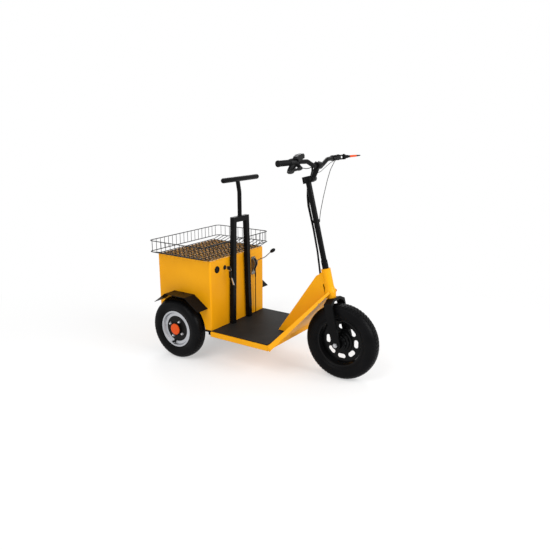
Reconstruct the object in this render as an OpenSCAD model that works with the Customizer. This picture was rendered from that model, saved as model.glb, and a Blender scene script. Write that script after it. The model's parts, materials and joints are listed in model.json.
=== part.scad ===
// Stand-on electric tow tractor: three wheels, raked steering column, rear body box with a wire basket.
// Millimetres. +X forward, +Y left, +Z up, ground at z = 0. Sizes along x count from the rear axle.

/* [Wheels] */
// Distance from rear axle to front axle
wheelbase = 919; // [850:1:980]
// Front tyre outside diameter
front_d = 410; // [380:1:440]
// Front tyre section width
front_w = 87; // [80:1:92]
// Front rim bead diameter
front_bead_d = 254; // [240:1:270]
// Rear tyre outside diameter
rear_d = 350; // [330:1:370]
// Rear tyre section width
rear_w = 86; // [80:1:92]
// Rear rim bead diameter
rear_bead_d = 203; // [190:1:215]
// Distance between the rear tyres' middle planes
track = 524; // [510:1:540]
// Tyre wall thickness
tyre_wall = 9; // [6:0.5:12]
// Rim sheet thickness
rim_t = 4; // [3:0.5:6]
// Height of a rim flange over the bead seat
rim_lip = 9; // [6:0.5:12]
// Width between a rim's flanges
rim_w = 66; // [60:1:70]
// Front rim slots
slot_count = 8; // [6:1:10]
// Radius of the ring that the slots lie on
slot_ring_r = 82; // [76:1:88]
// Slot length along the ring
slot_l = 45; // [36:1:50]
// Slot width
slot_w = 24; // [18:1:28]
// Front hub radius
front_hub_r = 36; // [30:1:42]
// Front hub length
front_hub_l = 104; // [96:1:110]
// Front axle radius
front_axle_r = 7; // [6:0.5:9]
// Rear hub drum radius
drum_r = 75; // [68:1:80]
// Rear drum length
drum_l = 40; // [30:1:46]
// Rear hub cap radius
cap_r = 32; // [26:1:36]
// Rear hub cap height
cap_h = 8; // [6:1:12]
// Reach of the rear hub's boss past the wheel disc
boss_l = 14.5; // [10:0.5:20]
// Running gap between a shaft and its bore
run_gap = 0.05; // [0.02:0.01:0.1]
// Gap between pieces that are bolted together
seat_gap = 0.3; // [0.1:0.1:0.5]

/* [Body box] */
// Distance from rear axle to the box's rear face
box_back = 158; // [146:1:170]
// Box length along x
box_l = 390; // [366:1:414]
// Box width
box_w = 500; // [470:1:520]
// Bottom edge of the box
box_z0 = 197.5; // [190:0.5:210]
// Top of the box with its lid
box_top = 591; // [560:1:620]
// Box corner radius
box_corner = 10; // [4:1:20]
// Sheet thickness
sheet = 3; // [2:0.5:4]
// Lid thickness
lid_t = 4; // [3:0.5:8]
// Gap between the rear tyre and the arch in the box side
arch_gap = 12; // [8:1:18]
// How far the arch cut reaches in from the box side
arch_depth = 45; // [36:1:60]

/* [Deck] */
// Front edge of the deck
deck_front = 617; // [590:1:650]
// Deck width
deck_w = 518; // [490:1:540]
// Top of the deck plate
deck_z = 193; // [185:1:205]
// Depth of the deck's folded edge
flange_h = 28; // [22:1:36]
// Rubber mat thickness
mat_t = 4.5; // [3:0.5:6]
// Strip of deck left bare round the mat
mat_margin = 9; // [5:1:13]
// Stiffener width
stiff_w = 30; // [20:1:40]
// Distance from the middle to a deck stiffener
stiff_y = 110; // [80:5:150]

/* [Riser and neck] */
// Slope of the riser plate
riser_slope = 50.6; // [48:0.1:53]
// Depth of the riser's folded edge at its top
flange_top_h = 13; // [8:1:20]
// Length of the riser plate up its slope
riser_l = 366; // [350:1:380]
// Riser width beside the head tube
riser_top_w = 80; // [74:1:90]
// Neck width
neck_w = 44; // [36:1:50]
// Where the neck meets the deck
neck_x0 = 525; // [505:1:545]
// Top rear corner of the neck along x
neck_x1 = 765; // [755:1:775]
// Top rear corner of the neck in height
neck_z1 = 545; // [535:1:552]
// Cable hole radius in the neck's top
neck_hole_r = 9; // [7:0.5:11]

/* [Steering] */
// Rake of the steering axis
rake = 14.25; // [12:0.25:16]
// Head tube top along x
head_x = 809.3; // [800:0.1:818]
// Head tube top in height
head_z = 585.7; // [578:0.1:594]
// Head tube length
head_l = 157; // [145:1:160]
// Head tube radius
head_r = 25; // [22:0.5:28]
// Radius of the swelling at the lower bearing
head_bulge_r = 31; // [28:0.5:34]
// Steerer radius
steerer_r = 12.5; // [11.5:0.5:14]
// Bearing length
bearing_l = 12; // [8:1:16]
// Column radius
column_r = 14.5; // [14:0.5:17]
// Column length above the head tube
column_l = 478; // [450:1:500]
// Height of the collar at the column's foot
collar_h = 45; // [35:1:55]
// Radius of that collar
collar_r = 17; // [16:0.5:20]
// Fork leg width
leg_w = 46; // [40:1:48]
// Fork leg thickness
leg_t = 12; // [8:1:14]
// Gap between the fork legs
fork_gap = 126; // [120:1:132]
// Crown thickness
crown_t = 15; // [11:1:18]
// Drop of the crown's shoulders
crown_drop = 20; // [16:1:24]
// Flat part of the crown
crown_flat = 64; // [56:1:72]
// Stem clamp radius
stem_r = 20; // [18:1:23]
// Stem clamp height
stem_h = 34; // [28:1:40]
// Stem reach from column to knuckle
stem_reach = 28; // [22:1:34]
// Stem arm width
stem_w = 28; // [24:1:32]
// Reach of the stem's clamp ears behind the column
ear_l = 12; // [8:1:20]
// Knuckle radius
knuckle_r = 15; // [13:0.5:17]
// Bar clamp radius
bar_clamp_r = 18.5; // [17:0.5:21]
// Bar clamp width
bar_clamp_w = 44; // [36:1:50]

/* [Handlebar] */
// Handlebar radius
bar_r = 11.1; // [10:0.1:12.7]
// Handlebar width
bar_w = 600; // [560:1:640]
// Rise of the handlebar's ends over its clamp
bar_rise = 27; // [20:1:34]
// Sweep of the handlebar's ends back from its clamp
bar_sweep = 46; // [36:1:56]
// Handlebar clamp along x
bar_x = 752; // [745:1:760]
// Handlebar clamp in height
bar_z = 1115; // [1105:1:1125]
// Grip length
grip_l = 98; // [90:1:102]
// Grip radius
grip_r = 14.5; // [13.5:0.5:17]
// Radius of the grip's end flange
grip_end_r = 16; // [15.5:0.5:19]
// Thickness of the grip's end flange
grip_end_t = 8; // [5:1:10]
// Brake lever blade radius
blade_r = 5.5; // [4.5:0.5:7]
// Lever clamp radius
perch_r = 15; // [14:0.5:18]
// Lever clamp length
perch_l = 16; // [13:1:18]
// Throttle housing radius
throttle_r = 20; // [18:0.5:23]
// Throttle housing length
throttle_l = 22; // [18:0.5:23]

/* [Support and lean bar] */
// Support frame middle ahead of the box
support_x = 17; // [15:1:26]
// Support tube width across
support_w = 30; // [24:1:34]
// Support tube depth along x
support_d = 26; // [20:1:28]
// Top of the support frame
support_top = 814; // [790:1:840]
// Outside width of the frame at its top
support_top_w = 145; // [135:1:180]
// Outside width of the frame at the deck
support_foot_w = 186; // [178:1:214]
// Lean bar post radius
post_r = 12; // [10:0.5:13]
// Height where the post bends back
post_bend_z = 948; // [930:1:965]
// How far the post leans back at its top
post_back = 13; // [8:1:18]
// Height of the lean bar
lean_z = 1023; // [1005:1:1040]
// Lean bar radius
lean_r = 14; // [12:0.5:16]
// Lean bar length
lean_l = 330; // [300:1:380]

/* [Basket] */
// Distance from rear axle to the basket's rear rim
basket_back = 170; // [162:1:180]
// Basket length along x
basket_l = 404; // [396:1:414]
// Basket width
basket_w = 620; // [600:1:640]
// Height of the basket's lower rim
basket_low = 613; // [608:1:620]
// Height of the basket's upper rim
basket_high = 677; // [665:1:690]
// Rim wire radius
rim_wire_r = 2.5; // [2:0.5:3.5]
// Thin wire radius
wire_r = 1.5; // [1:0.5:2]
// Basket corner radius
basket_corner = 26; // [18:1:34]
// Upright wires along each long side
wires_long = 18; // [14:1:22]
// Upright wires along each short side
wires_short = 11; // [9:1:14]
// Floor wires along the width
floor_long = 17; // [14:1:20]
// Floor wires along the length
floor_short = 13; // [10:1:16]

/* [Mudguards] */
// How far a mudguard stands out from the box's side
guard_y = 85; // [75:1:95]
// Mudguard thickness
guard_t = 3; // [2:0.5:4]
// Height of the mudguard's flat top
guard_top = 390; // [380:1:400]
// Drop of the mudguard's front edge
guard_drop = 66; // [56:1:76]

/* [Front panel fittings] */
// Charge socket radius
socket_r = 15.5; // [13:0.5:18]
// Charge socket reach
socket_l = 6; // [4:1:9]
// Charge socket place in from the box's right side
socket_y = 58; // [45:1:70]
// Charge socket height
socket_z = 538; // [520:1:550]
// Key switch radius
key_r = 11; // [9:0.5:14]
// Key switch reach
key_l = 5; // [4:1:8]
// Key switch place in from the box's right side
key_y = 126; // [115:1:137]
// Key switch height
key_z = 537; // [525:1:550]
// Hand brake place in from the box's left side
brake_y = 106; // [95:1:117]
// Lower end of the hand brake bracket
brake_z0 = 440; // [430:1:450]
// Upper end of the hand brake bracket
brake_z1 = 548; // [538:1:558]
// Hand brake bracket width
brake_w = 36; // [30:1:42]
// Hand brake bracket reach
brake_d = 26; // [22:1:32]
// Hand brake lever radius
brake_r = 3; // [2.5:0.5:4]
// Hand brake lever reach
brake_l = 129; // [115:1:145]
// Hand brake knob radius
knob_r = 11; // [9:0.5:13]

/* [Drive and hitch] */
// Axle housing radius
axle_r = 24; // [20:1:27]
// Half shaft radius
shaft_r = 12.5; // [11:0.5:15]
// Differential radius
diff_r = 58; // [50:1:60]
// Differential length
diff_l = 90; // [80:1:110]
// Drive motor radius
motor_r = 56; // [50:1:62]
// Drive motor length
motor_l = 150; // [130:1:170]
// Frame rail width
rail_w = 30; // [25:1:40]
// Frame rail height
rail_h = 35; // [30:1:40]
// Gap between the differential and the battery tray
tray_gap = 5; // [4:0.5:8]
// Distance from the middle to a rail's middle
rail_y = 185; // [170:1:188]
// Battery length
battery_l = 290; // [250:1:300]
// Battery width
battery_w = 320; // [280:1:340]
// Battery height
battery_h = 180; // [150:1:200]
// Hitch jaw height over the ground
hitch_z = 250; // [235:1:265]
// Hitch jaw reach behind the box
hitch_l = 58; // [50:1:68]
// Hitch jaw width
hitch_w = 60; // [50:1:70]
// Hitch jaw plate thickness
hitch_t = 8; // [6:1:10]
// Gap in the hitch jaw
hitch_gap = 34; // [28:1:40]
// Hitch pin hole radius
hitch_r = 10.5; // [9:0.5:12]

/* [Hidden] */
$fn = 64;
// A little more than a cut needs, so that no thin skin is left
over = 1;
front_r = front_d / 2;
rear_r = rear_d / 2;
box_x0 = -box_back;
box_x1 = box_l - box_back;
box_y = box_w / 2;
lid_z = box_top - lid_t;
deck_y = deck_w / 2;
deck_x0 = box_x1 - sheet;
guard_out = box_y + guard_y;
support_at = box_x1 + support_x;
socket_at = socket_y - box_y;
key_at = key_y - box_y;
brake_at = box_y - brake_y;
mat_z = deck_z + mat_t;
hitch_end = hitch_l + box_back;
// The part's middle along x lies over the frame's origin
axle_x = -(wheelbase + front_r - hitch_end) / 2;
tray_z = rear_r + diff_r + tray_gap;
frame_z = tray_z - rail_h;
leg_y = fork_gap / 2;
dx = wheelbase - head_x;
dz = front_r - head_z;
// Front axle as seen from the head tube's top, across and along the steering axis
axle_lx = dx * cos(rake) + dz * sin(rake);
axle_s = dz * cos(rake) - dx * sin(rake);
crown_s = -head_l - seat_gap;
sweep_r = leg_y + leg_t + rim_w / 4;
knuckle_s = column_l - stem_h / 4;
wheel_y = track / 2;
arch_r = rear_r + arch_gap;
rim_y = rim_w / 2;
basket_x0 = -basket_back;
basket_x1 = basket_l - basket_back;
basket_y = basket_w / 2;
basket_mid = (basket_x0 + basket_x1) / 2;
floor_z = box_top + wire_r + seat_gap;
wire_fn = 8;
bar_y = bar_w / 2;
// Straight run at each end of the bar, for the grip, the throttle and the lever's clamp
grip_run = grip_l + throttle_l + perch_l - over;
// Handlebar path, left half: shares of the sweep, of half the width, of the rise and of the straight run
bar_shares = [[0, 0, 0, 0], [0, 0.14, 0, 0], [-0.09, 0.333, 0.93, 0], [-0.26, 1, 1, 1], [-1, 1, 0.89, 0]];
bar_pts = [for (p = bar_shares) [bar_x + p[0] * bar_sweep, p[1] * bar_y - p[3] * grip_run,
    bar_z + p[2] * bar_rise]];
grip_root = bar_pts[3];
grip_tip = bar_pts[4];
grip_len = norm(grip_tip - grip_root);
// Brake levers, left then right: pivot and tip from the clamp, as shares of the grip's length
lever_shares = [[[0.511, 0.367, 0.07], [0.879, 1.557, 0.104]],
    [[0.254, -0.083, -0.285], [0.419, -1.561, -0.389]]];
// Place of a lever's clamp along the grip run
lever_share = 0.062;
lever_side = [1, -1];
// Mudguard profile: x as shares of the wheel's radius, shares of the drop below the flat top
guard_shares = [[-0.68, 0.91], [-0.211, 0], [0.646, 0], [1.189, 1]];
// Cable paths: x, y, z
loom_pts = [[736, -32, 1112], [714, 8, 1086], [690, 32, 1046], [678, 24, 1008], [691, 2, 952], [698, 0, 905],
    [731, 0, 788], [758, 0, 670], [778, 0, 546]];
left_cable_pts = [[761.5, 181.1, 1138.6], [766, 150, 1130], [765, 108, 1089], [764, 76, 1032], [763, 42, 952],
    [763, 20, 880], [764, 15, 830]];
loom_r = 4;
thin_cable_r = 2.5;
clip_s = 246;
clip_h = 14;

// A rectangle with rounded corners, lower left corner at the origin
module rounded(l, w, r) {
    translate([r, 0]) square([l - r * 2, w]);
    translate([0, r]) square([l, w - r * 2]);
    for (x = [r, l - r], y = [r, w - r]) translate([x, y]) circle(r = r);
}

// Puts its children where the rear axle stands
module placed() translate([axle_x, 0, 0]) children();

// Local z up the steering axis, local x forward, origin at the head tube's top
module steered() placed() translate([head_x, 0, head_z]) rotate([0, -rake, 0]) children();

module block(low, high) translate(low) cube(high - low);

module rod(a, b, r, fn = 64) {
    d = b - a;
    translate(a) rotate([0, acos(d[2] / norm(d)), atan2(d[1], d[0])]) cylinder(r = r, h = norm(d), $fn = fn);
}

// A bent rod: straight lengths with a ball at each bend
module bent(points, r, ball = 1.03) {
    last = len(points) - 1;
    for (i = [0:last - 1]) rod(points[i], points[i + 1], r, 24);
    for (i = [1:last - 1]) translate(points[i]) sphere(r = r * ball, $fn = 32);
}

// A cylinder along y between two values of y
module axle(y0, y1, r) rotate([-90, 0, 0]) translate([0, 0, y0]) cylinder(r = r, h = y1 - y0);

// A slab of a profile in x and z between two values of y
module slab(points, y0, y1) translate([0, y1, 0]) rotate([90, 0, 0]) linear_extrude(y1 - y0) polygon(points);

// Spins a profile of radius and distance round the y axis
module spun(points) rotate([-90, 0, 0]) rotate_extrude() polygon(points);

module tyre(r, w, bead_r) rotate([-90, 0, 0]) rotate_extrude() difference() {
    translate([r - w / 2, 0]) circle(r = w / 2);
    translate([r - w / 2, 0]) circle(r = w / 2 - tyre_wall);
    translate([0, -w]) square([bead_r + seat_gap, w * 2]);
    for (s = lever_side) translate([0, s > 0 ? rim_y - rim_t - seat_gap : -w])
        square([bead_r + rim_lip + seat_gap, w - rim_y + rim_t + seat_gap]);
}

// Outer profile of a rim: flange, bead seat and well
function rim_shell(bead_r) = [[bead_r, -rim_y + rim_t], [bead_r + rim_lip, -rim_y + rim_t],
    [bead_r + rim_lip, -rim_y], [bead_r - rim_t, -rim_y], [bead_r - rim_t - rim_lip, -rim_y / 2],
    [bead_r - rim_t - rim_lip, rim_y / 2],
    [bead_r - rim_t, rim_y], [bead_r + rim_lip, rim_y], [bead_r + rim_lip, rim_y - rim_t],
    [bead_r, rim_y - rim_t], [bead_r - rim_lip, rim_y / 2], [bead_r - rim_lip, -rim_y / 2]];

module deck_tray() color("orange") placed() difference() {
    block([deck_x0 + seat_gap, -deck_y, deck_z - flange_h], [deck_front, deck_y, deck_z]);
    block([deck_x0 - over, -deck_y + sheet, deck_z - flange_h - over],
        [deck_front - sheet, -stiff_y - stiff_w / 2, deck_z - sheet]);
    block([deck_x0 - over, -stiff_y + stiff_w / 2, deck_z - flange_h - over],
        [deck_front - sheet, stiff_y - stiff_w / 2, deck_z - sheet]);
    block([deck_x0 - over, stiff_y + stiff_w / 2, deck_z - flange_h - over],
        [deck_front - sheet, deck_y - sheet, deck_z - sheet]);
}

mat_x0 = box_x1 + seat_gap;
mat_l = deck_front - mat_margin - mat_x0;
module deck_mat() color("dimgray") placed() difference() {
    block([mat_x0, -box_y, deck_z], [mat_x0 + mat_l, box_y, mat_z]);
    for (s = lever_side) support_leg(s, seat_gap);
    block([neck_x0 - seat_gap, -neck_w / 2 - seat_gap, deck_z - over],
        [deck_front, neck_w / 2 + seat_gap, mat_z + over]);
}

// Local x across the plate, local y up its slope, local z out of its front face
module on_riser() placed() translate([deck_front, 0, deck_z]) rotate([0, 90 - riser_slope, 0])
    rotate([0, 0, -90]) rotate([90, 0, 0]) mirror([0, 0, 1]) children();

module riser_outline(inset, foot = 0) polygon([[-deck_y + inset, -foot], [deck_y - inset, -foot],
    [deck_y - inset, over], [riser_top_w / 2 - inset, riser_l], [-riser_top_w / 2 + inset, riser_l],
    [-deck_y + inset, over]]);

// How far the folded edges run past the bend to meet the deck's edge
riser_foot = flange_h * tan(riser_slope / 2);
module riser_plate() color("orange") difference() {
    union() {
        on_riser() linear_extrude(sheet) riser_outline(0);
        difference() {
            on_riser() linear_extrude(flange_h) difference() {
                riser_outline(0, riser_foot);
                riser_outline(sheet, riser_foot * 2);
            }
            on_riser() translate([-deck_w, 0, 0]) rotate([90, 0, 90]) linear_extrude(deck_w * 2)
                polygon([[0, flange_h], [riser_l, flange_top_h], [riser_l + over, flange_h * 2],
                [0, flange_h * 2]]);
            placed() block([deck_x0, -deck_w, 0], [deck_front + seat_gap, deck_w, deck_z]);
            steered() translate([0, 0, axle_s]) cylinder(r = sweep_r, h = -axle_s + crown_s - mat_t * 2);
        }
    }
    steered() translate([0, 0, -head_l * 1.5]) cylinder(r = head_bulge_r + seat_gap, h = head_l * 2);
}

riser_dir = [cos(riser_slope), sin(riser_slope)];
neck_foot = [deck_front, deck_z + seat_gap];
// Distance up the slope to the steering axis
slope_l = ((head_x - deck_front) * cos(rake) + (head_z - deck_z) * sin(rake)) / cos(riser_slope - rake);
neck_outer = [[neck_x0, deck_z], neck_foot, neck_foot + riser_dir * slope_l, [head_x, head_z - sheet],
    [head_x - head_r, neck_z1 + sheet * 4], [neck_x1, neck_z1]];
module neck_gusset() color("orange") difference() {
    placed() difference() {
        slab(neck_outer, -neck_w / 2, neck_w / 2);
        translate([sheet * 1.5, 0, 0]) slab(neck_outer, -neck_w / 2 + sheet, neck_w / 2 - sheet);
        translate([head_x - head_r * 1.25, 0, neck_z1 - head_r]) cylinder(r = neck_hole_r, h = head_l);
    }
    steered() translate([0, 0, -head_l * 1.5]) cylinder(r = head_r + seat_gap, h = head_l * 2);
    steered() translate([0, 0, -head_l * 1.5]) cylinder(r = head_bulge_r + seat_gap, h = head_l);
}

bore_r = steerer_r + run_gap;
module head_tube() color("orange") steered() rotate_extrude() polygon([[bore_r, 0], [head_r, 0],
    [head_r, -head_l * 0.62], [head_bulge_r, -head_l * 0.8], [head_r + run_gap, -head_l], [bore_r, -head_l],
    [bore_r, -head_l + bearing_l], [head_r * 0.8, -head_l + bearing_l], [head_r * 0.8, -bearing_l],
    [bore_r, -bearing_l]]);

module chassis_frame() color("black") placed() {
    for (s = lever_side) {
        block([box_x0 + sheet + seat_gap, s * rail_y - rail_w / 2, frame_z],
            [box_x1 - sheet - seat_gap, s * rail_y + rail_w / 2, tray_z]);
        mirror([0, s > 0 ? 0 : 1, 0])
            block([box_x1 - sheet - seat_gap - rail_w, motor_l / 2 + bearing_l * 2, deck_z - flange_h],
            [box_x1 - sheet - seat_gap, box_y - box_corner - seat_gap, frame_z + over]);
    }
    block([box_x0 + sheet + seat_gap, -rail_y, frame_z], [box_x0 + sheet + rail_w, rail_y, tray_z]);
    block([box_x0 + sheet + seat_gap, -rail_y - rail_w / 2, tray_z - over],
        [box_x1 - sheet - seat_gap, rail_y + rail_w / 2, tray_z + sheet]);
}

module battery_pack() color("slategray") placed()
    translate([(box_x0 + box_x1 - battery_l) / 2, -battery_w / 2, tray_z + sheet + seat_gap])
    cube([battery_l, battery_w, battery_h]);

module body_box() color("orange") placed() difference() {
    translate([box_x0, -box_y, box_z0]) linear_extrude(lid_z - seat_gap - box_z0)
        rounded(box_l, box_w, box_corner);
    translate([box_x0 + sheet, -box_y + sheet, box_z0 - over]) linear_extrude(box_top)
        rounded(box_l - sheet * 2, box_w - sheet * 2, box_corner - sheet);
    for (s = lever_side) translate([0, s * (box_y - arch_depth / 2 + over), rear_r])
        axle(-arch_depth / 2, arch_depth / 2, arch_r);
}

module box_lid() color("orange") placed() translate([box_x0, -box_y, lid_z]) linear_extrude(lid_t)
    rounded(box_l, box_w, box_corner);

guard_over = [for (p = guard_shares) [p[0] * rear_r, guard_top - guard_drop * p[1]]];
guard_under = [for (i = [len(guard_over) - 1:-1:0]) guard_over[i] - [0, guard_t]];
module mudguards() color("black") placed() for (s = lever_side) mirror([0, s > 0 ? 0 : 1, 0])
    slab(concat(guard_over, guard_under), box_y + seat_gap, guard_out);

module wire(a, b) rod(a, b, wire_r, wire_fn);
module rim_wire(a, b) rod(a, b, rim_wire_r, 24);

module basket_floor() color("black") placed() {
    x0 = box_x0 + box_corner;
    x1 = box_x1 - box_corner;
    y0 = box_y - box_corner;
    for (i = [0:floor_short - 1]) let (x = x0 + (x1 - x0) * i / (floor_short - 1))
        block([x - wire_r, -y0 - wire_r, floor_z - wire_r], [x + wire_r, y0 + wire_r, floor_z + wire_r]);
    for (i = [0:floor_long - 1]) let (y = -y0 + y0 * 2 * i / (floor_long - 1))
        block([x0 - wire_r, y - wire_r, floor_z], [x1 + wire_r, y + wire_r, floor_z + wire_r * 2]);
}

rims = [basket_low, basket_high];
wall_x = [basket_x0 + rim_wire_r, basket_x1 - rim_wire_r];
wall_y = basket_y - rim_wire_r;
module basket_ends() color("black") placed() for (x = wall_x) {
    y1 = wall_y - basket_corner;
    for (z = rims) rim_wire([x, -y1, z], [x, y1, z]);
    for (i = [0:wires_long - 1]) let (y = (y1 - rim_wire_r) * (2 * i / (wires_long - 1) - 1))
        wire([x, y, basket_low], [x, y, basket_high]);
}

module basket_sides() color("black") placed() for (s = lever_side) {
    x0 = wall_x[0] + basket_corner;
    x1 = wall_x[1] - basket_corner;
    for (z = rims) rim_wire([x0, s * wall_y, z], [x1, s * wall_y, z]);
    step = (x1 - x0 - rim_wire_r * 2) / (wires_short - 1);
    for (i = [0:wires_short - 1]) let (x = x0 + rim_wire_r + step * i) {
        wire([x, s * wall_y, basket_low], [x, s * wall_y, basket_high]);
        wire([x, s * (box_y - box_corner), floor_z + wire_r * 3 + seat_gap], [x, s * wall_y, basket_low]);
    }
}

module basket_corners() color("black") placed() for (sx = [0, 1], sy = lever_side, z = rims)
    translate([wall_x[sx] + (1 - sx * 2) * basket_corner, sy * (wall_y - basket_corner), z])
    mirror([1 - sx, 0, 0]) mirror([0, sy > 0 ? 0 : 1, 0])
    rotate_extrude(angle = 90) translate([basket_corner, 0]) circle(r = rim_wire_r, $fn = 24);

// One leg of the support frame, grown by a gap for the hole it stands in
module support_leg(s, gap = 0) {
    foot = support_foot_w / 2;
    top = support_top_w / 2;
    translate([support_at + support_d / 2 + gap, 0, 0]) rotate([0, -90, 0])
        linear_extrude(support_d + gap * 2)
        polygon([[deck_z, s * (foot + gap)], [support_top, s * (top + gap)],
        [support_top, s * (top - support_w - gap)], [deck_z, s * (foot - support_w - gap)]]);
}

module support_frame() color("black") placed() {
    for (s = lever_side) support_leg(s);
    block([support_at - support_d / 2, -support_top_w / 2 + over, support_top - support_w],
        [support_at + support_d / 2, support_top_w / 2 - over, support_top]);
}

module lean_bar() color("black") placed() {
    top = [support_at - post_back, 0, lean_z];
    lean_x = top[0] + post_r + lean_r - sheet;
    bent([[support_at, 0, support_top + seat_gap], [support_at, 0, post_bend_z], top], post_r);
    translate([lean_x, 0, lean_z]) axle(-lean_l / 2 + lean_r, lean_l / 2 - lean_r, lean_r);
    for (s = lever_side) translate([lean_x, s * (lean_l / 2 - lean_r), lean_z]) sphere(r = lean_r);
}

// A cylinder that stands out of the box's front face
module on_front(y, z, l, r, from = 0) translate([box_x1 + from, y, z]) rotate([0, 90, 0])
    cylinder(r = r, h = l);

module charge_socket() color("black") placed() difference() {
    union() {
        on_front(socket_at, socket_z, sheet, socket_r * 1.25, seat_gap);
        on_front(socket_at, socket_z, socket_l, socket_r, seat_gap);
    }
    on_front(socket_at, socket_z, socket_l, socket_r * 0.7, socket_l * 0.6);
}

// Lock barrel, then the key's shank and bow
module key_switch() color("black") placed() {
    on_front(key_at, key_z, key_l, key_r, seat_gap);
    on_front(key_at, key_z, key_l * 1.5, key_r * 0.55, seat_gap);
    block([box_x1 + key_l, key_at - sheet / 2, key_z - key_r * 0.35],
        [box_x1 + key_l * 7, key_at + sheet / 2, key_z + key_r * 0.35]);
    block([box_x1 + key_l * 6.8, key_at - sheet, key_z - key_r],
        [box_x1 + key_l * 11, key_at + sheet, key_z + key_r]);
}

brake_pivot_x = box_x1 + brake_d * 0.7;
brake_pivot_z = brake_z0 + (brake_z1 - brake_z0) * 0.7;
module brake_bracket() color("silver") placed() {
    block([box_x1 + seat_gap, brake_at - brake_w / 2, brake_z0],
        [box_x1 + seat_gap + sheet, brake_at + brake_w / 2, brake_z1]);
    for (s = lever_side) slab([[box_x1 + sheet, brake_z0 + brake_d / 2],
        [box_x1 + brake_d, brake_pivot_z - brake_d / 2], [box_x1 + brake_d, brake_pivot_z + brake_d / 4],
        [box_x1 + sheet, brake_z1]],
        brake_at + s * brake_w / 3 - sheet / 2, brake_at + s * brake_w / 3 + sheet / 2);
    translate([brake_pivot_x, brake_at, brake_pivot_z]) axle(-brake_w / 3, brake_w / 3, brake_r * 0.8);
}

// Hand brake lever: x and z from the pivot, as shares of the lever's reach
brake_shares = [[0, 0], [0.302, 0.2], [0.845, 0.55], [1, 0.69]];
brake_pts = [for (p = brake_shares)
    [brake_pivot_x + p[0] * brake_l, brake_at, brake_pivot_z + p[1] * brake_l]];
module hand_brake() color("dimgray") placed() difference() {
    union() {
        bent(brake_pts, brake_r);
        rod(brake_pts[2] * 0.6 + brake_pts[3] * 0.4, brake_pts[3], knob_r);
        translate(brake_pts[3]) sphere(r = knob_r * 1.03);
        translate(brake_pts[0]) axle(-brake_r * 1.4, brake_r * 1.4, brake_r * 1.8);
    }
    translate(brake_pts[0]) axle(-brake_w / 2, brake_w / 2, brake_r * 0.8 + run_gap);
}

module brake_rod() color("dimgray") placed() translate([brake_pivot_x, brake_at, 0]) {
    rod([0, 0, mat_z + seat_gap], [0, 0, brake_pivot_z - brake_r * 1.8 - seat_gap], brake_r * 0.8, 24);
    translate([0, 0, brake_z0 - brake_d / 2]) cylinder(r = brake_r * 1.3, h = brake_d);
}

housing_end = wheel_y - rear_w / 2 - mat_t;
module rear_axle() color("dimgray") placed() translate([0, 0, rear_r]) difference() {
    union() {
        axle(-housing_end, housing_end, axle_r);
        spun([[0, -diff_l / 2], [diff_r * 0.6, -diff_l / 2], [diff_r, -diff_l / 4], [diff_r, diff_l / 4],
            [diff_r * 0.6, diff_l / 2], [0, diff_l / 2]]);
        for (s = lever_side) {
            block([-rail_w / 2, s * rail_y - rail_w / 2, 0],
                [rail_w / 2, s * rail_y + rail_w / 2, frame_z - rear_r]);
            translate([0, s * (housing_end - mat_t), 0]) axle(-mat_t, mat_t, drum_r * 0.8);
        }
    }
    for (s = lever_side) translate([0, s * (housing_end - drum_l), 0])
        axle(-drum_l, drum_l, shaft_r + run_gap);
}

motor_x = diff_r + motor_r - sheet;
module drive_motor() color("gray") placed() translate([motor_x, 0, rear_r]) difference() {
    union() {
        axle(-motor_l / 2, motor_l / 2, motor_r);
        axle(-motor_l / 2 - bearing_l, motor_l / 2 + bearing_l, motor_r * 0.6);
    }
    translate([-motor_x, 0, 0]) axle(-motor_l, motor_l, diff_r + seat_gap);
}

module tow_hitch() color("black") placed() difference() {
    union() {
        block([box_x0 - seat_gap - hitch_t, -hitch_w * 0.7, hitch_z - hitch_gap / 2 - hitch_t * 2],
            [box_x0 - seat_gap, hitch_w * 0.7, hitch_z + hitch_gap / 2 + hitch_t * 2]);
        for (s = lever_side) translate([0, 0, hitch_z + s * (hitch_gap + hitch_t) / 2 - hitch_t / 2]) {
            block([-hitch_end + hitch_w / 2, -hitch_w / 2, 0],
                [box_x0 - seat_gap - hitch_t / 2, hitch_w / 2, hitch_t]);
            translate([-hitch_end + hitch_w / 2, 0, 0]) cylinder(r = hitch_w / 2, h = hitch_t);
        }
    }
    translate([-hitch_end + hitch_w / 2, 0, hitch_z - hitch_gap]) cylinder(r = hitch_r, h = hitch_gap * 2);
    block([box_x0 - seat_gap, -hitch_w, hitch_z - hitch_gap * 2], [0, hitch_w, hitch_z + hitch_gap * 2]);
}

crown_y = leg_y + leg_t;
crown_low = crown_s - crown_drop - crown_t;
// Across the fork: y, height along the steering axis
crown_outline = [[-crown_y, crown_low], [-crown_y, crown_s - crown_drop], [-crown_flat / 2, crown_s],
    [crown_flat / 2, crown_s], [crown_y, crown_s - crown_drop], [crown_y, crown_low], [leg_y, crown_low],
    [crown_flat / 2, crown_s - crown_t], [-crown_flat / 2, crown_s - crown_t], [-leg_y, crown_low]];
module fork() color("black") steered() difference() {
    union() {
        translate([0, 0, crown_s - over]) cylinder(r = steerer_r, h = -crown_s + over + collar_h / 2);
        translate([axle_lx - leg_w / 2, 0, 0]) rotate([90, 0, 90]) linear_extrude(leg_w)
            polygon(crown_outline);
        for (s = lever_side) translate([axle_lx, s * (leg_y + leg_t / 2), axle_s]) {
            translate([-leg_w / 2, -leg_t / 2, 0]) cube([leg_w, leg_t, crown_low - axle_s + over]);
            axle(-leg_t / 2, leg_t / 2, leg_w / 2);
        }
    }
    translate([axle_lx, 0, axle_s]) axle(-front_d, front_d, front_axle_r + run_gap);
}

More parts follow.
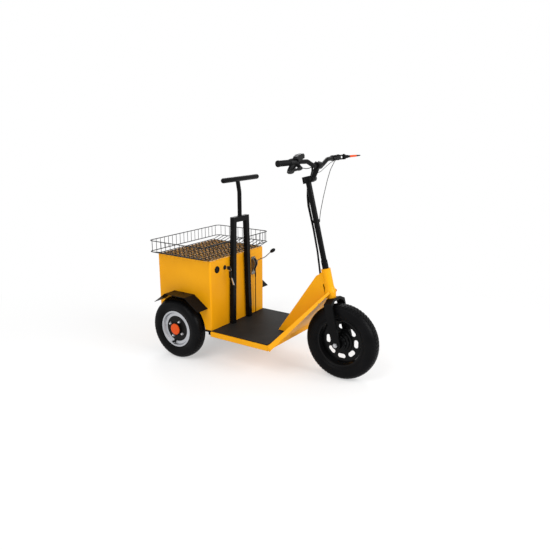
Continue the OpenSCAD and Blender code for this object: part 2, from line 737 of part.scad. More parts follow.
module column() color("black") steered() difference() {
    union() {
        translate([0, 0, seat_gap]) cylinder(r = collar_r, h = collar_h);
        translate([0, 0, seat_gap]) cylinder(r = column_r, h = column_l - seat_gap);
        translate([0, 0, clip_s]) cylinder(r = collar_r, h = clip_h);
    }
    translate([0, 0, -over]) cylinder(r = steerer_r + run_gap, h = collar_h / 2 + over * 2);
    translate([0, 0, collar_h]) cylinder(r = steerer_r * 0.85, h = column_l);
}

bar_at = [bar_x - head_x, 0, bar_z - head_z];
bar_lx = bar_at[0] * cos(rake) + bar_at[2] * sin(rake);
bar_s = bar_at[2] * cos(rake) - bar_at[0] * sin(rake);
stem_s = column_l - stem_h * 0.75;
module stem() color("black") steered() difference() {
    union() {
        translate([0, 0, stem_s]) cylinder(r = stem_r, h = stem_h);
        block([0, -stem_w / 2, stem_s], [stem_reach, stem_w / 2, stem_s + stem_h]);
        block([-column_r - ear_l, -stem_w * 0.43, stem_s], [0, stem_w * 0.43, stem_s + stem_h]);
        translate([stem_reach, 0, knuckle_s]) axle(-stem_w * 0.7, stem_w * 0.7, knuckle_r);
        rod([stem_reach, 0, knuckle_s], [bar_lx, 0, bar_s], stem_w / 2);
        translate([bar_lx, 0, bar_s]) axle(-bar_clamp_w / 2, bar_clamp_w / 2, bar_clamp_r);
    }
    translate([0, 0, collar_h]) cylinder(r = column_r + run_gap, h = column_l - collar_h + run_gap);
    block([-column_r - ear_l - over, -sheet / 2, collar_h], [0, sheet / 2, column_l + stem_h]);
    translate([bar_lx, 0, bar_s]) axle(-bar_clamp_w, bar_clamp_w, bar_r + run_gap);
}

function mirrored(p, s) = [p[0], s * p[1], p[2]];
module handlebar() color("black") placed() {
    rod(mirrored(bar_pts[1], -1), bar_pts[1], bar_r, 48);
    for (s = lever_side) {
        for (i = [1:3]) rod(mirrored(bar_pts[i], s), mirrored(bar_pts[i + 1], s), bar_r, 48);
        for (i = [1:3]) translate(mirrored(bar_pts[i], s)) sphere(r = bar_r * 1.02);
    }
}

// A point on the left grip run, at a share of its length from the bend
function on_grip(share) = grip_root + (grip_tip - grip_root) * share;
grip_step = (grip_tip - grip_root) / grip_len;
module grips() color("black") placed() for (s = lever_side) difference() {
    union() {
        rod(mirrored(grip_tip - grip_step * grip_l, s), mirrored(grip_tip + grip_step * sheet, s), grip_r);
        rod(mirrored(grip_tip - grip_step * grip_end_t, s), mirrored(grip_tip + grip_step * sheet, s),
            grip_end_r);
    }
    rod(mirrored(grip_root, s), mirrored(grip_tip + grip_step * run_gap, s), bar_r + run_gap);
}

throttle_end = grip_tip - grip_step * (grip_l + over);
throttle_mid = throttle_end - grip_step * throttle_l / 2;
module throttle() color("black") placed() difference() {
    union() {
        rod(mirrored(throttle_end - grip_step * throttle_l, -1), mirrored(throttle_end, -1), throttle_r);
        translate(mirrored(throttle_mid, -1))
            translate([-throttle_r * 0.85, -throttle_l * 1.94, -throttle_r * 2.57])
            cube([throttle_r * 1.2, throttle_l * 1.73, throttle_r * 2]);
    }
    rod(mirrored(grip_root - grip_step * throttle_l, -1), mirrored(grip_tip, -1), bar_r + run_gap);
    rod(mirrored(throttle_end, -1), mirrored(grip_tip, -1), grip_end_r + over);
}

// Display: y and z from the bend before the grip, as shares of the grip's length
display_shares = [[-0.315, 0.031], [-0.33, 0.16], [-0.5, 0.178], [-0.44, 0.28], [-0.2, 0.37],
    [0.132, 0.407], [0.236, 0.337], [0.254, 0.07]];
module display() color("black") placed() difference() {
    translate([bar_x - throttle_r * 0.85, -grip_root[1], grip_root[2]]) rotate([90, 0, 90])
        linear_extrude(throttle_r * 1.15) polygon(display_shares * grip_l);
    rod(mirrored(throttle_end - grip_step * throttle_l * 3.2, -1), mirrored(throttle_end, -1),
        throttle_r + seat_gap);
}

perch_at = on_grip(lever_share);
perch_half = grip_step * perch_l / 2;
module brake_levers() color("black") placed() for (i = [0, 1]) let (s = lever_side[i],
    a = mirrored(perch_at, s), pivot = a + lever_shares[i][0] * grip_l,
    tip = a + lever_shares[i][1] * grip_l) difference() {
    union() {
        rod(mirrored(perch_at - perch_half, s), mirrored(perch_at + perch_half, s), perch_r);
        rod(a, pivot, blade_r * 1.4);
        translate(pivot) sphere(r = blade_r * 1.8);
        rod(pivot, tip, blade_r);
        translate(tip) sphere(r = blade_r * 1.5);
    }
    rod(mirrored(grip_root - grip_step * throttle_l, s), mirrored(grip_tip, s), bar_r * 1.02 + run_gap);
}

module cable_loom() color("black") placed() bent(loom_pts, loom_r, 1.05);

module left_cable() color("black") placed() bent(left_cable_pts, thin_cable_r);

module front_axle() color("silver") placed() translate([wheelbase, 0, front_r]) {
    axle(-crown_y - bearing_l, crown_y + bearing_l, front_axle_r);
    for (s = lever_side) translate([0, s * (crown_y + seat_gap + bearing_l / 3), 0]) rotate([90, 0, 0])
        cylinder(r = front_axle_r * 1.8, h = bearing_l * 0.66, center = true, $fn = 6);
}

module front_wheel_at() placed() translate([wheelbase, 0, front_r]) children();
module front_tyre() color("black") front_wheel_at() tyre(front_r, front_w, front_bead_d / 2);

module front_rim() color("black") front_wheel_at() difference() {
    union() {
        spun(rim_shell(front_bead_d / 2));
        axle(-rim_t / 2, rim_t / 2, front_bead_d / 2 - rim_lip - over);
        axle(-front_hub_l / 2, front_hub_l / 2, front_hub_r);
    }
    axle(-front_hub_l, front_hub_l, front_axle_r + run_gap);
    for (i = [0:slot_count - 1]) rotate([0, i * 360 / slot_count, 0]) translate([slot_ring_r, 0, 0]) {
        block([-slot_w / 2, -rim_t, -slot_l / 2 + slot_w / 2], [slot_w / 2, rim_t, slot_l / 2 - slot_w / 2]);
        for (s = lever_side) translate([0, 0, s * (slot_l - slot_w) / 2]) axle(-rim_t, rim_t, slot_w / 2);
    }
}

// Rear wheel pieces are drawn for the left side, outer face towards +y, and mirrored for the right
module rear_wheel_at(s) placed() translate([0, s * wheel_y, rear_r]) mirror([0, s > 0 ? 0 : 1, 0]) children();
module rear_tyre() tyre(rear_r, rear_w, rear_bead_d / 2);
disc_y = rim_y / 2 + rim_t;
boss_y = disc_y + boss_l;
// Turn of the notch for the valve from the lowest point
valve_turn = 14;
module rear_rim() difference() {
    union() {
        spun(rim_shell(rear_bead_d / 2));
        axle(disc_y - rim_t, disc_y, rear_bead_d / 2 - rim_lip - over);
    }
    axle(-rim_w, rim_w, drum_r + seat_gap);
    rotate([0, valve_turn, 0]) block([-rim_lip, 0, -drum_r - rim_t * 3], [rim_lip, rim_w, 0]);
}
module rear_hub() {
    axle(disc_y - drum_l, disc_y, drum_r);
    axle(disc_y - over, boss_y, cap_r + rim_t / 2);
    axle(-wheel_y + housing_end - drum_l * 1.4, disc_y - drum_l + over, shaft_r);
}
module hub_cap() spun([[0, boss_y + seat_gap], [cap_r, boss_y + seat_gap], [cap_r, boss_y + cap_h * 0.6],
    [cap_r * 0.8, boss_y + cap_h], [0, boss_y + cap_h]]);

module rear_tyre_right() color("black") rear_wheel_at(-1) rear_tyre();
module rear_rim_right() color("silver") rear_wheel_at(-1) rear_rim();
module rear_hub_right() color("black") rear_wheel_at(-1) rear_hub();
module hub_cap_right() color("orangered") rear_wheel_at(-1) hub_cap();
module rear_tyre_left() color("black") rear_wheel_at(1) rear_tyre();
module rear_rim_left() color("silver") rear_wheel_at(1) rear_rim();
module rear_hub_left() color("black") rear_wheel_at(1) rear_hub();
module hub_cap_left() color("orangered") rear_wheel_at(1) hub_cap();

deck_tray();
deck_mat();
riser_plate();
neck_gusset();
head_tube();
chassis_frame();
body_box();
box_lid();
battery_pack();
mudguards();
basket_floor();
basket_ends();
basket_sides();
basket_corners();
support_frame();
lean_bar();
charge_socket();
key_switch();
brake_bracket();
hand_brake();
brake_rod();
rear_axle();
drive_motor();
tow_hitch();
fork();
column();
stem();
handlebar();
grips();
throttle();
display();
brake_levers();
cable_loom();
left_cable();
front_axle();
front_tyre();
front_rim();
rear_tyre_right();
rear_rim_right();
rear_hub_right();
hub_cap_right();
rear_tyre_left();
rear_rim_left();
rear_hub_left();
hub_cap_left();
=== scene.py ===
# %% [markdown]
# A stand-on electric tow tractor. The solids come ready made, each piece at its real size and place, and
# this lesson dresses them. It makes paint, rubber and metal finishes, swaps the plain solids of tyres,
# wires, cables and grips for finer meshes, and adds nuts, welds and screws. What the frame can tell, such as
# hubs, axes and tyre sizes, is read from it. Other places are in millimetres, as on a workshop drawing.

# %% Load the frame
import json
import math
import bmesh
import bpy
from mathutils import Matrix, Vector


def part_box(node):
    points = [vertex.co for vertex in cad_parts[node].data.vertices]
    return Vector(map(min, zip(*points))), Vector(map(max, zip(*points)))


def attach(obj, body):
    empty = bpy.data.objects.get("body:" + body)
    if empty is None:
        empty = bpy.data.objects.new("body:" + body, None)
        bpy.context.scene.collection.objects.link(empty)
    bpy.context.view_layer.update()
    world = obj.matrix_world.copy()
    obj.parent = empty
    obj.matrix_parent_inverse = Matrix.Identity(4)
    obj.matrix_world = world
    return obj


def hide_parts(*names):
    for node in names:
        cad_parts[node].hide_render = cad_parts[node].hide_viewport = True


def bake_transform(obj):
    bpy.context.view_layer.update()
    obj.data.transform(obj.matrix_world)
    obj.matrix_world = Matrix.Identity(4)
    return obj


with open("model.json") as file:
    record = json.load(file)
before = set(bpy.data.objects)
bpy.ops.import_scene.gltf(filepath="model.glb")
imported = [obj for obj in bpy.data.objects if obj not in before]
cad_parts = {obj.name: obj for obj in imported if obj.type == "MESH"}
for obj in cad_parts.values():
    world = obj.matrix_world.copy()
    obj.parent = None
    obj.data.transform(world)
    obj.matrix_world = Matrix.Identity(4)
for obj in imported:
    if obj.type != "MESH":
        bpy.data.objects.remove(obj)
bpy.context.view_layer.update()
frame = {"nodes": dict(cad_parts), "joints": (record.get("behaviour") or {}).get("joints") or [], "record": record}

MM = 0.001
JOINT = {joint["name"]: joint for joint in frame["joints"]}
NODE = frame["nodes"]
FRONT_HUB = Vector(JOINT["front_roll"]["pos_m"])
REAR_HUB = {side: Vector(JOINT["rear_roll_" + side]["pos_m"]) for side in ("right", "left")}
STEER_AT = Vector(JOINT["steer"]["pos_m"])
STEER_UP = Vector(JOINT["steer"]["axis"]).normalized()

# %% [markdown]
# Shaders, the world and Geometry Nodes are trees of nodes, all built in the same way: add a node, set its
# options, and feed each socket with a value or with another node's output. Two helpers do that, and a third
# does arithmetic, because both inputs of a Math node have the same name.

# %% Helpers for node trees
def feed(tree, source, socket):
    if isinstance(source, bpy.types.NodeSocket):
        tree.links.new(source, socket)
    else:
        socket.default_value = source


def add_node(tree, kind, settings=None, **sources):
    node = tree.nodes.new(kind)
    for label, value in (settings or {}).items():
        setattr(node, label, value)
    for label, source in sources.items():
        feed(tree, source, node.inputs[label.replace("_", " ")])
    return node.outputs


def reckon(tree, operation, first, second):
    result = add_node(tree, "ShaderNodeMath", {"operation": operation})["Value"]
    feed(tree, first, result.node.inputs[0])
    feed(tree, second, result.node.inputs[1])
    return result


# %% [markdown]
# A finish is a shader with a little disorder in it. Paint is never one colour: it varies over a panel,
# shines a little less where it was rubbed, and has the fine ripple of sprayed paint. Three helpers give
# that to every material: a noise on Object coordinates, a ramp that turns it into colours or values,
# and a bump. What is the same all over is set on the shader's own sockets.

# %% Helpers for finishes
RAMP_START, RAMP_END = 0.3, 0.7


def finish(name, **sockets):
    material = bpy.data.materials.new(name)
    material.use_nodes = True
    shader = material.node_tree.nodes["Principled BSDF"]
    for label, value in sockets.items():
        shader.inputs[label.replace("_", " ")].default_value = value
    return material, shader


def noise(material, scale, detail=3.0):
    place = add_node(material.node_tree, "ShaderNodeTexCoord")["Object"]
    return add_node(material.node_tree, "ShaderNodeTexNoise", Vector=place, Scale=scale, Detail=detail)["Fac"]


def vary(material, texture, tones, socket, start=RAMP_START):
    colour = add_node(material.node_tree, "ShaderNodeValToRGB", Fac=texture)["Color"]
    for stop, place, tone in zip(colour.node.color_ramp.elements, (start, RAMP_END), tones):
        stop.position = place
        stop.color = (*tone, 1)
    feed(material.node_tree, colour, socket)


def greys(values):
    return [(value,) * 3 for value in values]


def bump(material, shader, height, depth):
    normal = add_node(material.node_tree, "ShaderNodeBump", Height=height, Distance=depth * MM)["Normal"]
    feed(material.node_tree, normal, shader.inputs["Normal"])


# %% [markdown]
# The tractor wears two paints: a warm yellow on the sheet metal and black on tubes, wires and guards. Both
# are the same idea with other numbers. A slow noise shifts the tone by a few hundredths, a quicker one
# shifts the roughness, and a fine one gives the orange peel of a sprayed coat, with its depth in millimetres.

# %% Paints
PANEL_SCALE, RUB_SCALE, PEEL_SCALE = 5.0, 60.0, 420.0
RUB_START, COAT_ROUGHNESS = 0.35, 0.12
JET = [(0.0028, 0.0028, 0.003), (0.0045, 0.0045, 0.0048)]


def paint(name, tones, rough, peel, coat, specular):
    material, shader = finish(name, Coat_Weight=coat, Coat_Roughness=COAT_ROUGHNESS,
                              Specular_IOR_Level=specular)
    vary(material, noise(material, PANEL_SCALE), tones, shader.inputs["Base Color"])
    vary(material, noise(material, RUB_SCALE), greys(rough), shader.inputs["Roughness"], RUB_START)
    bump(material, shader, noise(material, PEEL_SCALE, detail=1.0), peel)
    return material


YELLOW = paint("yellow_paint", [(0.75, 0.315, 0.003), (0.82, 0.36, 0.005)], (0.34, 0.46), 0.12, 0.03, 0.09)
BLACK = paint("black_paint", JET, (0.26, 0.38), 0.10, 0.0, 0.065)
GLOSS = paint("gloss_black", JET, (0.18, 0.28), 0.06, 0.0, 0.1)
WIRE = paint("black_wire", [(0.005, 0.005, 0.0053), (0.008, 0.008, 0.0085)], (0.28, 0.40), 0.05, 0.0, 0.12)
print("paints:", [m.name for m in (YELLOW, BLACK, GLOSS, WIRE)])

# %% [markdown]
# Metal shows what it mirrors, so its tone hardly varies and its roughness does, in a fine grain. The rims'
# silver paint is made in the same way, the nuts are zinc plated, and the hand brake's bracket is zinc gone
# dull. One noise drives roughness and bump together, so that a raised grain is also a duller one.

# %% Metals
GRAIN_DETAIL = 2.0
TARNISH_SCALE, TARNISH_DETAIL, BRUSH_SCALE = 70.0, 4.0, 300.0


def grained(material, shader, tone, tones, scale, rough, grain):
    vary(material, tone, tones, shader.inputs["Base Color"])
    texture = noise(material, scale, GRAIN_DETAIL)
    vary(material, texture, greys(rough), shader.inputs["Roughness"])
    bump(material, shader, texture, grain)
    return material


def metal(name, tones, rough, grain):
    material, shader = finish(name, Metallic=1.0)
    tarnish = noise(material, TARNISH_SCALE, TARNISH_DETAIL)
    return grained(material, shader, tarnish, tones, BRUSH_SCALE, rough, grain)


SILVER = metal("silver_paint", [(0.45, 0.46, 0.485), (0.50, 0.51, 0.535)], (0.36, 0.42), 0.02)
ZINC = metal("zinc_steel", [(0.42, 0.42, 0.43), (0.50, 0.50, 0.51)], (0.30, 0.42), 0.02)
WORN = metal("worn_zinc", [(0.16, 0.15, 0.13), (0.25, 0.24, 0.21)], (0.40, 0.55), 0.04)
ALLOY = metal("motor_alloy", [(0.26, 0.26, 0.27), (0.34, 0.34, 0.35)], (0.42, 0.58), 0.08)
print("metals:", [m.name for m in (SILVER, ZINC, WORN, ALLOY)])

# %% [markdown]
# Tyres, mat, grips, plastic and cast iron come from a mould, and they keep the mould's fine texture. Black
# rubber is very dark, and what the eye sees of it is its sheen.

# %% Rubbers and plastics
TONE_SCALE = 14.0
SOOT = [(0.004, 0.004, 0.0043), (0.007, 0.007, 0.0074)]
RUBBER_TONES = [(0.0024, 0.0024, 0.0027), (0.0044, 0.0044, 0.0049)]
ORANGE_TONES = [(0.64, 0.066, 0.006), (0.71, 0.084, 0.009)]
GLASS_TONES = [(0.010, 0.014, 0.013), (0.013, 0.018, 0.016)]


def moulded(name, tones, rough, grain, scale, specular):
    material, shader = finish(name, Specular_IOR_Level=specular)
    return grained(material, shader, noise(material, TONE_SCALE), tones, scale, rough, grain)


IRON = moulded("dark_iron", [(0.004, 0.004, 0.004), (0.008, 0.0075, 0.007)], (0.42, 0.58), 0.12, 260.0, 0.1)
TYRE = moulded("tyre_rubber", RUBBER_TONES, (0.32, 0.44), 0.12, 380.0, 0.055)
MAT = moulded("mat_rubber", [(0.011, 0.0105, 0.010), (0.017, 0.016, 0.015)], (0.55, 0.70), 0.15, 500.0, 0.08)
GRIP = moulded("grip_rubber", SOOT, (0.48, 0.62), 0.08, 600.0, 0.09)
PLASTIC = moulded("black_plastic", SOOT, (0.36, 0.50), 0.08, 700.0, 0.12)
ORANGE = moulded("orange_plastic", ORANGE_TONES, (0.30, 0.42), 0.04, 500.0, 0.12)
SCREEN = moulded("screen_glass", GLASS_TONES, (0.08, 0.12), 0.01, 500.0, 0.5)
CASE = moulded("battery_case", [(0.040, 0.048, 0.056), (0.055, 0.064, 0.074)], (0.50, 0.62), 0.10, 400.0, 0.4)
print("moulded:", [m.name for m in (IRON, TYRE, MAT, GRIP, PLASTIC, ORANGE, SCREEN, CASE)])

# %% [markdown]
# The record says which finish each solid has, and two solids get a special one. Their meshes keep their
# shape, but an object may carry modifiers: a weld joins its loose triangles, and a small bevel gives folded
# sheet and cut plate the soft edge that catches the light.

# %% Dress the solids
FINISH = {"yellow_paint": YELLOW, "black_paint": BLACK, "black_wire": WIRE, "silver_paint": SILVER,
          "zinc_steel": ZINC, "motor_alloy": ALLOY, "dark_iron": IRON, "tyre_rubber": TYRE, "mat_rubber": MAT,
          "grip_rubber": GRIP, "black_plastic": PLASTIC, "orange_plastic": ORANGE, "battery_case": CASE}
SPECIAL = {"front_rim": GLOSS, "brake_bracket": WORN}
SLOT = {row["node"]: row["material_slot"] for row in frame["record"]["subparts"]}
SOFT_EDGE = {"body_box": 1.5, "box_lid": 1.5, "deck_tray": 2.0, "riser_plate": 1.0, "neck_gusset": 1.5,
             "support_frame": 2.5, "mudguards": 0.8, "fork": 1.5, "tow_hitch": 1.5, "brake_bracket": 1.5,
             "display": 2.5, "stem": 1.0, "hub_cap_right": 3.5, "hub_cap_left": 3.5}
JOIN_GAP, EDGE_ANGLE, EDGE_STEPS = 0.01, 35.0, 2
for name, solid in NODE.items():
    solid.data.materials.clear()
    solid.data.materials.append(SPECIAL.get(name, FINISH[SLOT[name]]))
    if name in SOFT_EDGE:
        weld = solid.modifiers.new("Join triangles", "WELD")
        weld.merge_threshold = JOIN_GAP * MM
        soft = solid.modifiers.new("Soft edge", "BEVEL")
        soft.width = SOFT_EDGE[name] * MM
        soft.segments = EDGE_STEPS
        soft.limit_method = "ANGLE"
        soft.angle_limit = math.radians(EDGE_ANGLE)
        soft.harden_normals = True
print("dressed solids:", len(NODE), "with soft edges:", len(SOFT_EDGE))

# %% [markdown]
# Lengths below are in millimetres, with x counted from the rear axle, as in a drawing. `at` turns such a
# place into the scene's metres, and `steered` does the same for a place counted along the steering axis.

# %% Places
REAR_X = REAR_HUB["right"].x
RIGHT, LEFT = Vector((0, -1, 0)), Vector((0, 1, 0))
FORWARD, UP = Vector((1, 0, 0)), Vector((0, 0, 1))
STEER_FORWARD = LEFT.cross(STEER_UP)


def at(x, y, z):
    return Vector((REAR_X + x * MM, y * MM, z * MM))


def steered(forward, across, up):
    return STEER_AT + (STEER_FORWARD * forward + LEFT * across + STEER_UP * up) * MM


def spread(low, high, count):
    return [low + (high - low) * k / (count - 1) for k in range(count)]


def full_turn(count):
    return spread(0, 2 * math.pi, count + 1)[:-1]


print("rear axle at x", round(REAR_X, 4))

# %% [markdown]
# Most pieces below are small, and a few ways of making a mesh serve them all. A turned piece spins a
# profile of distances and radii round an axis, as a lathe does. A lofted piece joins a row of rounded
# sections. A rounded box is a block with its edges taken off.

# %% Helpers for shapes
def facing(axis):
    return Vector(axis).normalized().to_track_quat("Z", "Y").to_matrix().to_4x4()


def kept(shape):
    mesh = bpy.data.meshes.new("piece")
    shape.to_mesh(mesh)
    shape.free()
    return mesh


def join_rings(shape, rings, steps):
    for low, high in zip(rings, rings[1:]):
        for k in range(steps):
            corners = [low[k % len(low)], low[(k + 1) % len(low)]]
            corners += [high[(k + 1) % len(high)], high[k % len(high)]]
            corners = list(dict.fromkeys(corners))
            if len(corners) > 2:
                shape.faces.new(corners)


def turned(profile, start, axis, steps=48):
    shape = bmesh.new()
    rings = []
    for distance, radius in profile:
        spots = [(math.cos(a), math.sin(a)) for a in full_turn(steps if radius else 1)]
        rings.append([shape.verts.new((radius * c, radius * s, distance)) for c, s in spots])
    join_rings(shape, rings, steps)
    shape.transform(Matrix.Translation(start) @ facing(axis) @ Matrix.Scale(MM, 4))
    return kept(shape)


def lofted(sections, sides=20, square=0.75):
    shape = bmesh.new()
    rings = []
    for centre, wide, tall in sections:
        ring = []
        for angle in full_turn(sides):
            c, s = math.cos(angle), math.sin(angle)
            across, up = math.copysign(abs(c) ** square, c), math.copysign(abs(s) ** square, s)
            ring.append(shape.verts.new(centre + (wide * across + tall * up) * MM))
        rings.append(ring)
    join_rings(shape, rings, sides)
    shape.faces.new(rings[0])
    shape.faces.new(rings[-1])
    return kept(shape)


def rounded_box(low, high, radius, segments=3):
    shape = bmesh.new()
    bmesh.ops.create_cube(shape, size=1.0)
    low, high = Vector(low), Vector(high)
    bmesh.ops.scale(shape, vec=high - low, verts=shape.verts)
    bmesh.ops.translate(shape, vec=(low + high) / 2, verts=shape.verts)
    bmesh.ops.bevel(shape, geom=shape.edges[:], offset=radius, segments=segments, profile=0.5, affect="EDGES")
    shape.transform(Matrix.Translation(at(0, 0, 0)) @ Matrix.Scale(MM, 4))
    return kept(shape)


# %% [markdown]
# A finished piece is one mesh with its place in its points. Points that coincide are merged, faces are turned
# outwards, and smooth shading stops at edges sharper than the crease. Then the piece is told which body it
# rides on and which plain solids it stands in for.

# %% Helpers for pieces
MERGE_GAP = 0.002


def joined(*meshes):
    shape = bmesh.new()
    for mesh in meshes:
        shape.from_mesh(mesh)
        bpy.data.meshes.remove(mesh)
    return kept(shape)


def piece(name, mesh, material, body, replaces=(), crease=35):
    shape = bmesh.new()
    shape.from_mesh(mesh)
    bmesh.ops.remove_doubles(shape, verts=shape.verts, dist=MERGE_GAP * MM)
    bmesh.ops.recalc_face_normals(shape, faces=shape.faces)
    shape.to_mesh(mesh)
    shape.free()
    mesh.name = name
    if material is not None:
        mesh.materials.clear()
        mesh.materials.append(material)
    mesh.polygons.foreach_set("use_smooth", [True] * len(mesh.polygons))
    mesh.set_sharp_from_angle(angle=math.radians(crease))
    thing = bpy.data.objects.new(name, mesh)
    bpy.context.scene.collection.objects.link(thing)
    if body:
        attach(thing, body)
    if replaces:
        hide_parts(*replaces)
    return thing


# %% [markdown]
# What repeats or follows a path is grown by Geometry Nodes. There are four trees. One sweeps a round
# tube along every path of a mesh made of edges. One sets copies of an item in a ring, one sets copies on
# points, and one lays a weld bead along a path. Each tree has its sizes as named inputs, and `grow` reads
# the grown mesh back as a plain one.

# %% Helpers for Geometry Nodes
def new_tree(name, **inputs):
    tree = bpy.data.node_groups.new(name, "GeometryNodeTree")
    for label, kind in {"Geometry": "Geometry", **inputs, "Material": "Material"}.items():
        tree.interface.new_socket(label.replace("_", " "), in_out="INPUT", socket_type="NodeSocket" + kind)
    tree.interface.new_socket("Geometry", in_out="OUTPUT", socket_type="NodeSocketGeometry")
    return tree, tree.nodes.new("NodeGroupInput").outputs


def end_tree(tree, geometry, material):
    real = add_node(tree, "GeometryNodeRealizeInstances", Geometry=geometry)
    coated = add_node(tree, "GeometryNodeSetMaterial", Geometry=real["Geometry"], Material=material)
    add_node(tree, "NodeGroupOutput", Geometry=coated["Geometry"])
    print("tree:", tree.name)


def grow(tree, start, **sizes):
    holder = bpy.data.objects.new("grown", start)
    bpy.context.scene.collection.objects.link(holder)
    modifier = holder.modifiers.new("Grow", "NODES")
    modifier.node_group = tree
    for socket in tree.interface.items_tree:
        if socket.in_out == "INPUT" and socket.name.replace(" ", "_") in sizes:
            modifier[socket.identifier] = sizes[socket.name.replace(" ", "_")]
    mesh = bpy.data.meshes.new_from_object(holder.evaluated_get(bpy.context.evaluated_depsgraph_get()))
    holder.modifiers.remove(modifier)
    bpy.data.objects.remove(holder)
    bpy.data.meshes.remove(start)
    return mesh


def path_mesh(paths, closed=False):
    points, edges = [], []
    for path in paths:
        first = len(points)
        points += path
        edges += [(first + k, first + k + 1) for k in range(len(path) - 1)]
        if closed:
            edges.append((first + len(path) - 1, first))
    mesh = bpy.data.meshes.new("path")
    mesh.from_pydata(points, edges, [])
    return mesh


# %% [markdown]
# A bar, a wire or a cable is a round section drawn along a route. The routes are plain edges, so a whole
# basket can be swept at once. A fillet rounds each corner, as a tube bender would, and caps close the ends.

# %% Tube tree
BEND_STEPS = 7
TUBE, given = new_tree("Tube along paths", Radius="Float", Bend_radius="Float", Sides="Int")
route = add_node(TUBE, "GeometryNodeMeshToCurve", Mesh=given["Geometry"])["Curve"]
bends = add_node(TUBE, "GeometryNodeFilletCurve", {"mode": "POLY"}, Curve=route, Count=BEND_STEPS,
                 Limit_Radius=True, Radius=given["Bend radius"])["Curve"]
section = add_node(TUBE, "GeometryNodeCurvePrimitiveCircle", Resolution=given["Sides"],
                   Radius=given["Radius"])["Curve"]
swept = add_node(TUBE, "GeometryNodeCurveToMesh", Curve=bends, Profile_Curve=section, Fill_Caps=True)["Mesh"]
end_tree(TUBE, swept, given["Material"])


def tubes(paths, radius, bend, material, sides=16, closed=False):
    start = path_mesh(paths, closed)
    return grow(TUBE, start, Radius=radius * MM, Bend_radius=bend * MM, Sides=sides, Material=material)


# %% [markdown]
# Wheel nuts and tread blocks stand in a ring, and each has to face outwards. The tree sets the item on the
# points of a circle, turns each copy by its own number of steps, and turns the ring to its first angle.

# %% Ring tree
RING, given = new_tree("Ring of copies", Count="Int", Ring_radius="Float", First_angle="Float")
spots = add_node(RING, "GeometryNodeMeshCircle", Vertices=given["Count"], Radius=given["Ring radius"])["Mesh"]
step = reckon(RING, "DIVIDE", 2 * math.pi, given["Count"])
angle = reckon(RING, "MULTIPLY", add_node(RING, "GeometryNodeInputIndex")["Index"], step)
turn = add_node(RING, "ShaderNodeCombineXYZ", Z=angle)["Vector"]
copies = add_node(RING, "GeometryNodeInstanceOnPoints", Points=spots, Instance=given["Geometry"],
                  Rotation=turn)["Instances"]
first_turn = add_node(RING, "ShaderNodeCombineXYZ", Z=given["First angle"])["Vector"]
spun = add_node(RING, "GeometryNodeTransform", Geometry=copies, Rotation=first_turn)["Geometry"]
end_tree(RING, spun, given["Material"])


def ring_of(item, count, ring, first, centre, axis, material):
    turn = math.radians(first)
    mesh = grow(RING, item, Count=count, Ring_radius=ring * MM, First_angle=turn, Material=material)
    mesh.transform(Matrix.Translation(centre) @ facing(axis))
    return mesh


# %% [markdown]
# Screws sit at chosen points, so one is made and the tree copies it there. A weld bead is a row of drops that
# overlap, because a welder's hand moves in small steps: the path is cut into steps and gets a drop at each.

# %% Point tree and bead tree
DROP_DETAIL, DROP_STEP_SHARE = 2, 1.1
SPOTS, given = new_tree("Copies on points", Item="Object")
item = add_node(SPOTS, "GeometryNodeObjectInfo", Object=given["Item"])["Geometry"]
copies = add_node(SPOTS, "GeometryNodeInstanceOnPoints", Points=given["Geometry"], Instance=item)
end_tree(SPOTS, copies["Instances"], given["Material"])

BEAD, given = new_tree("Weld bead", Bead_radius="Float", Step="Float")
route = add_node(BEAD, "GeometryNodeMeshToCurve", Mesh=given["Geometry"])["Curve"]
steps = add_node(BEAD, "GeometryNodeResampleCurve", {"mode": "LENGTH"}, Curve=route, Length=given["Step"])
drop = add_node(BEAD, "GeometryNodeMeshIcoSphere", Radius=given["Bead radius"], Subdivisions=DROP_DETAIL)
copies = add_node(BEAD, "GeometryNodeInstanceOnPoints", Points=steps["Curve"], Instance=drop["Mesh"])
end_tree(BEAD, copies["Instances"], given["Material"])


def copies_at(item, points, material):
    source = bpy.data.objects.new("item", item)
    mesh = grow(SPOTS, path_mesh([points]), Item=source, Material=material)
    bpy.data.objects.remove(source)
    bpy.data.meshes.remove(item)
    return mesh


def bead(paths, radius, material, closed=False):
    step = radius * DROP_STEP_SHARE * MM
    return grow(BEAD, path_mesh(paths, closed), Bead_radius=radius * MM, Step=step, Material=material)


# %% [markdown]
# The tyres come first. A carcass is turned from a section that bulges at the sides and has two ribs where
# it meets the rim. On it stand the blocks of the road tread: two rows beside the middle and a row on each
# shoulder, every block bent to the curve of the crown. The ring tree makes each row from one block.

# %% Tread blocks
TREAD_DEPTH, BLOCK_ROOT, BLOCK_TAPER = 2.4, 2.5, 0.92
BLOCK_ACROSS, BLOCK_AROUND = 5, 4
# Half of a tyre's section in shares: of its half width, and of its height above the rim
CROWN = [(0.0, 1.0), (0.35, 0.985), (0.62, 0.945), (0.82, 0.87), (0.93, 0.77)]
WALL = [(0.985, 0.62), (1.0, 0.5), (0.985, 0.36), (0.93, 0.24), (0.885, 0.2), (0.895, 0.17), (0.87, 0.145),
        (0.845, 0.15), (0.82, 0.11), (0.79, 0.06), (0.74, 0.03)]


def crown_at(share):
    for (a, ra), (b, rb) in zip(CROWN, CROWN[1:]):
        if share <= b:
            return ra + (rb - ra) * (share - a) / (b - a)
    return CROWN[-1][1]


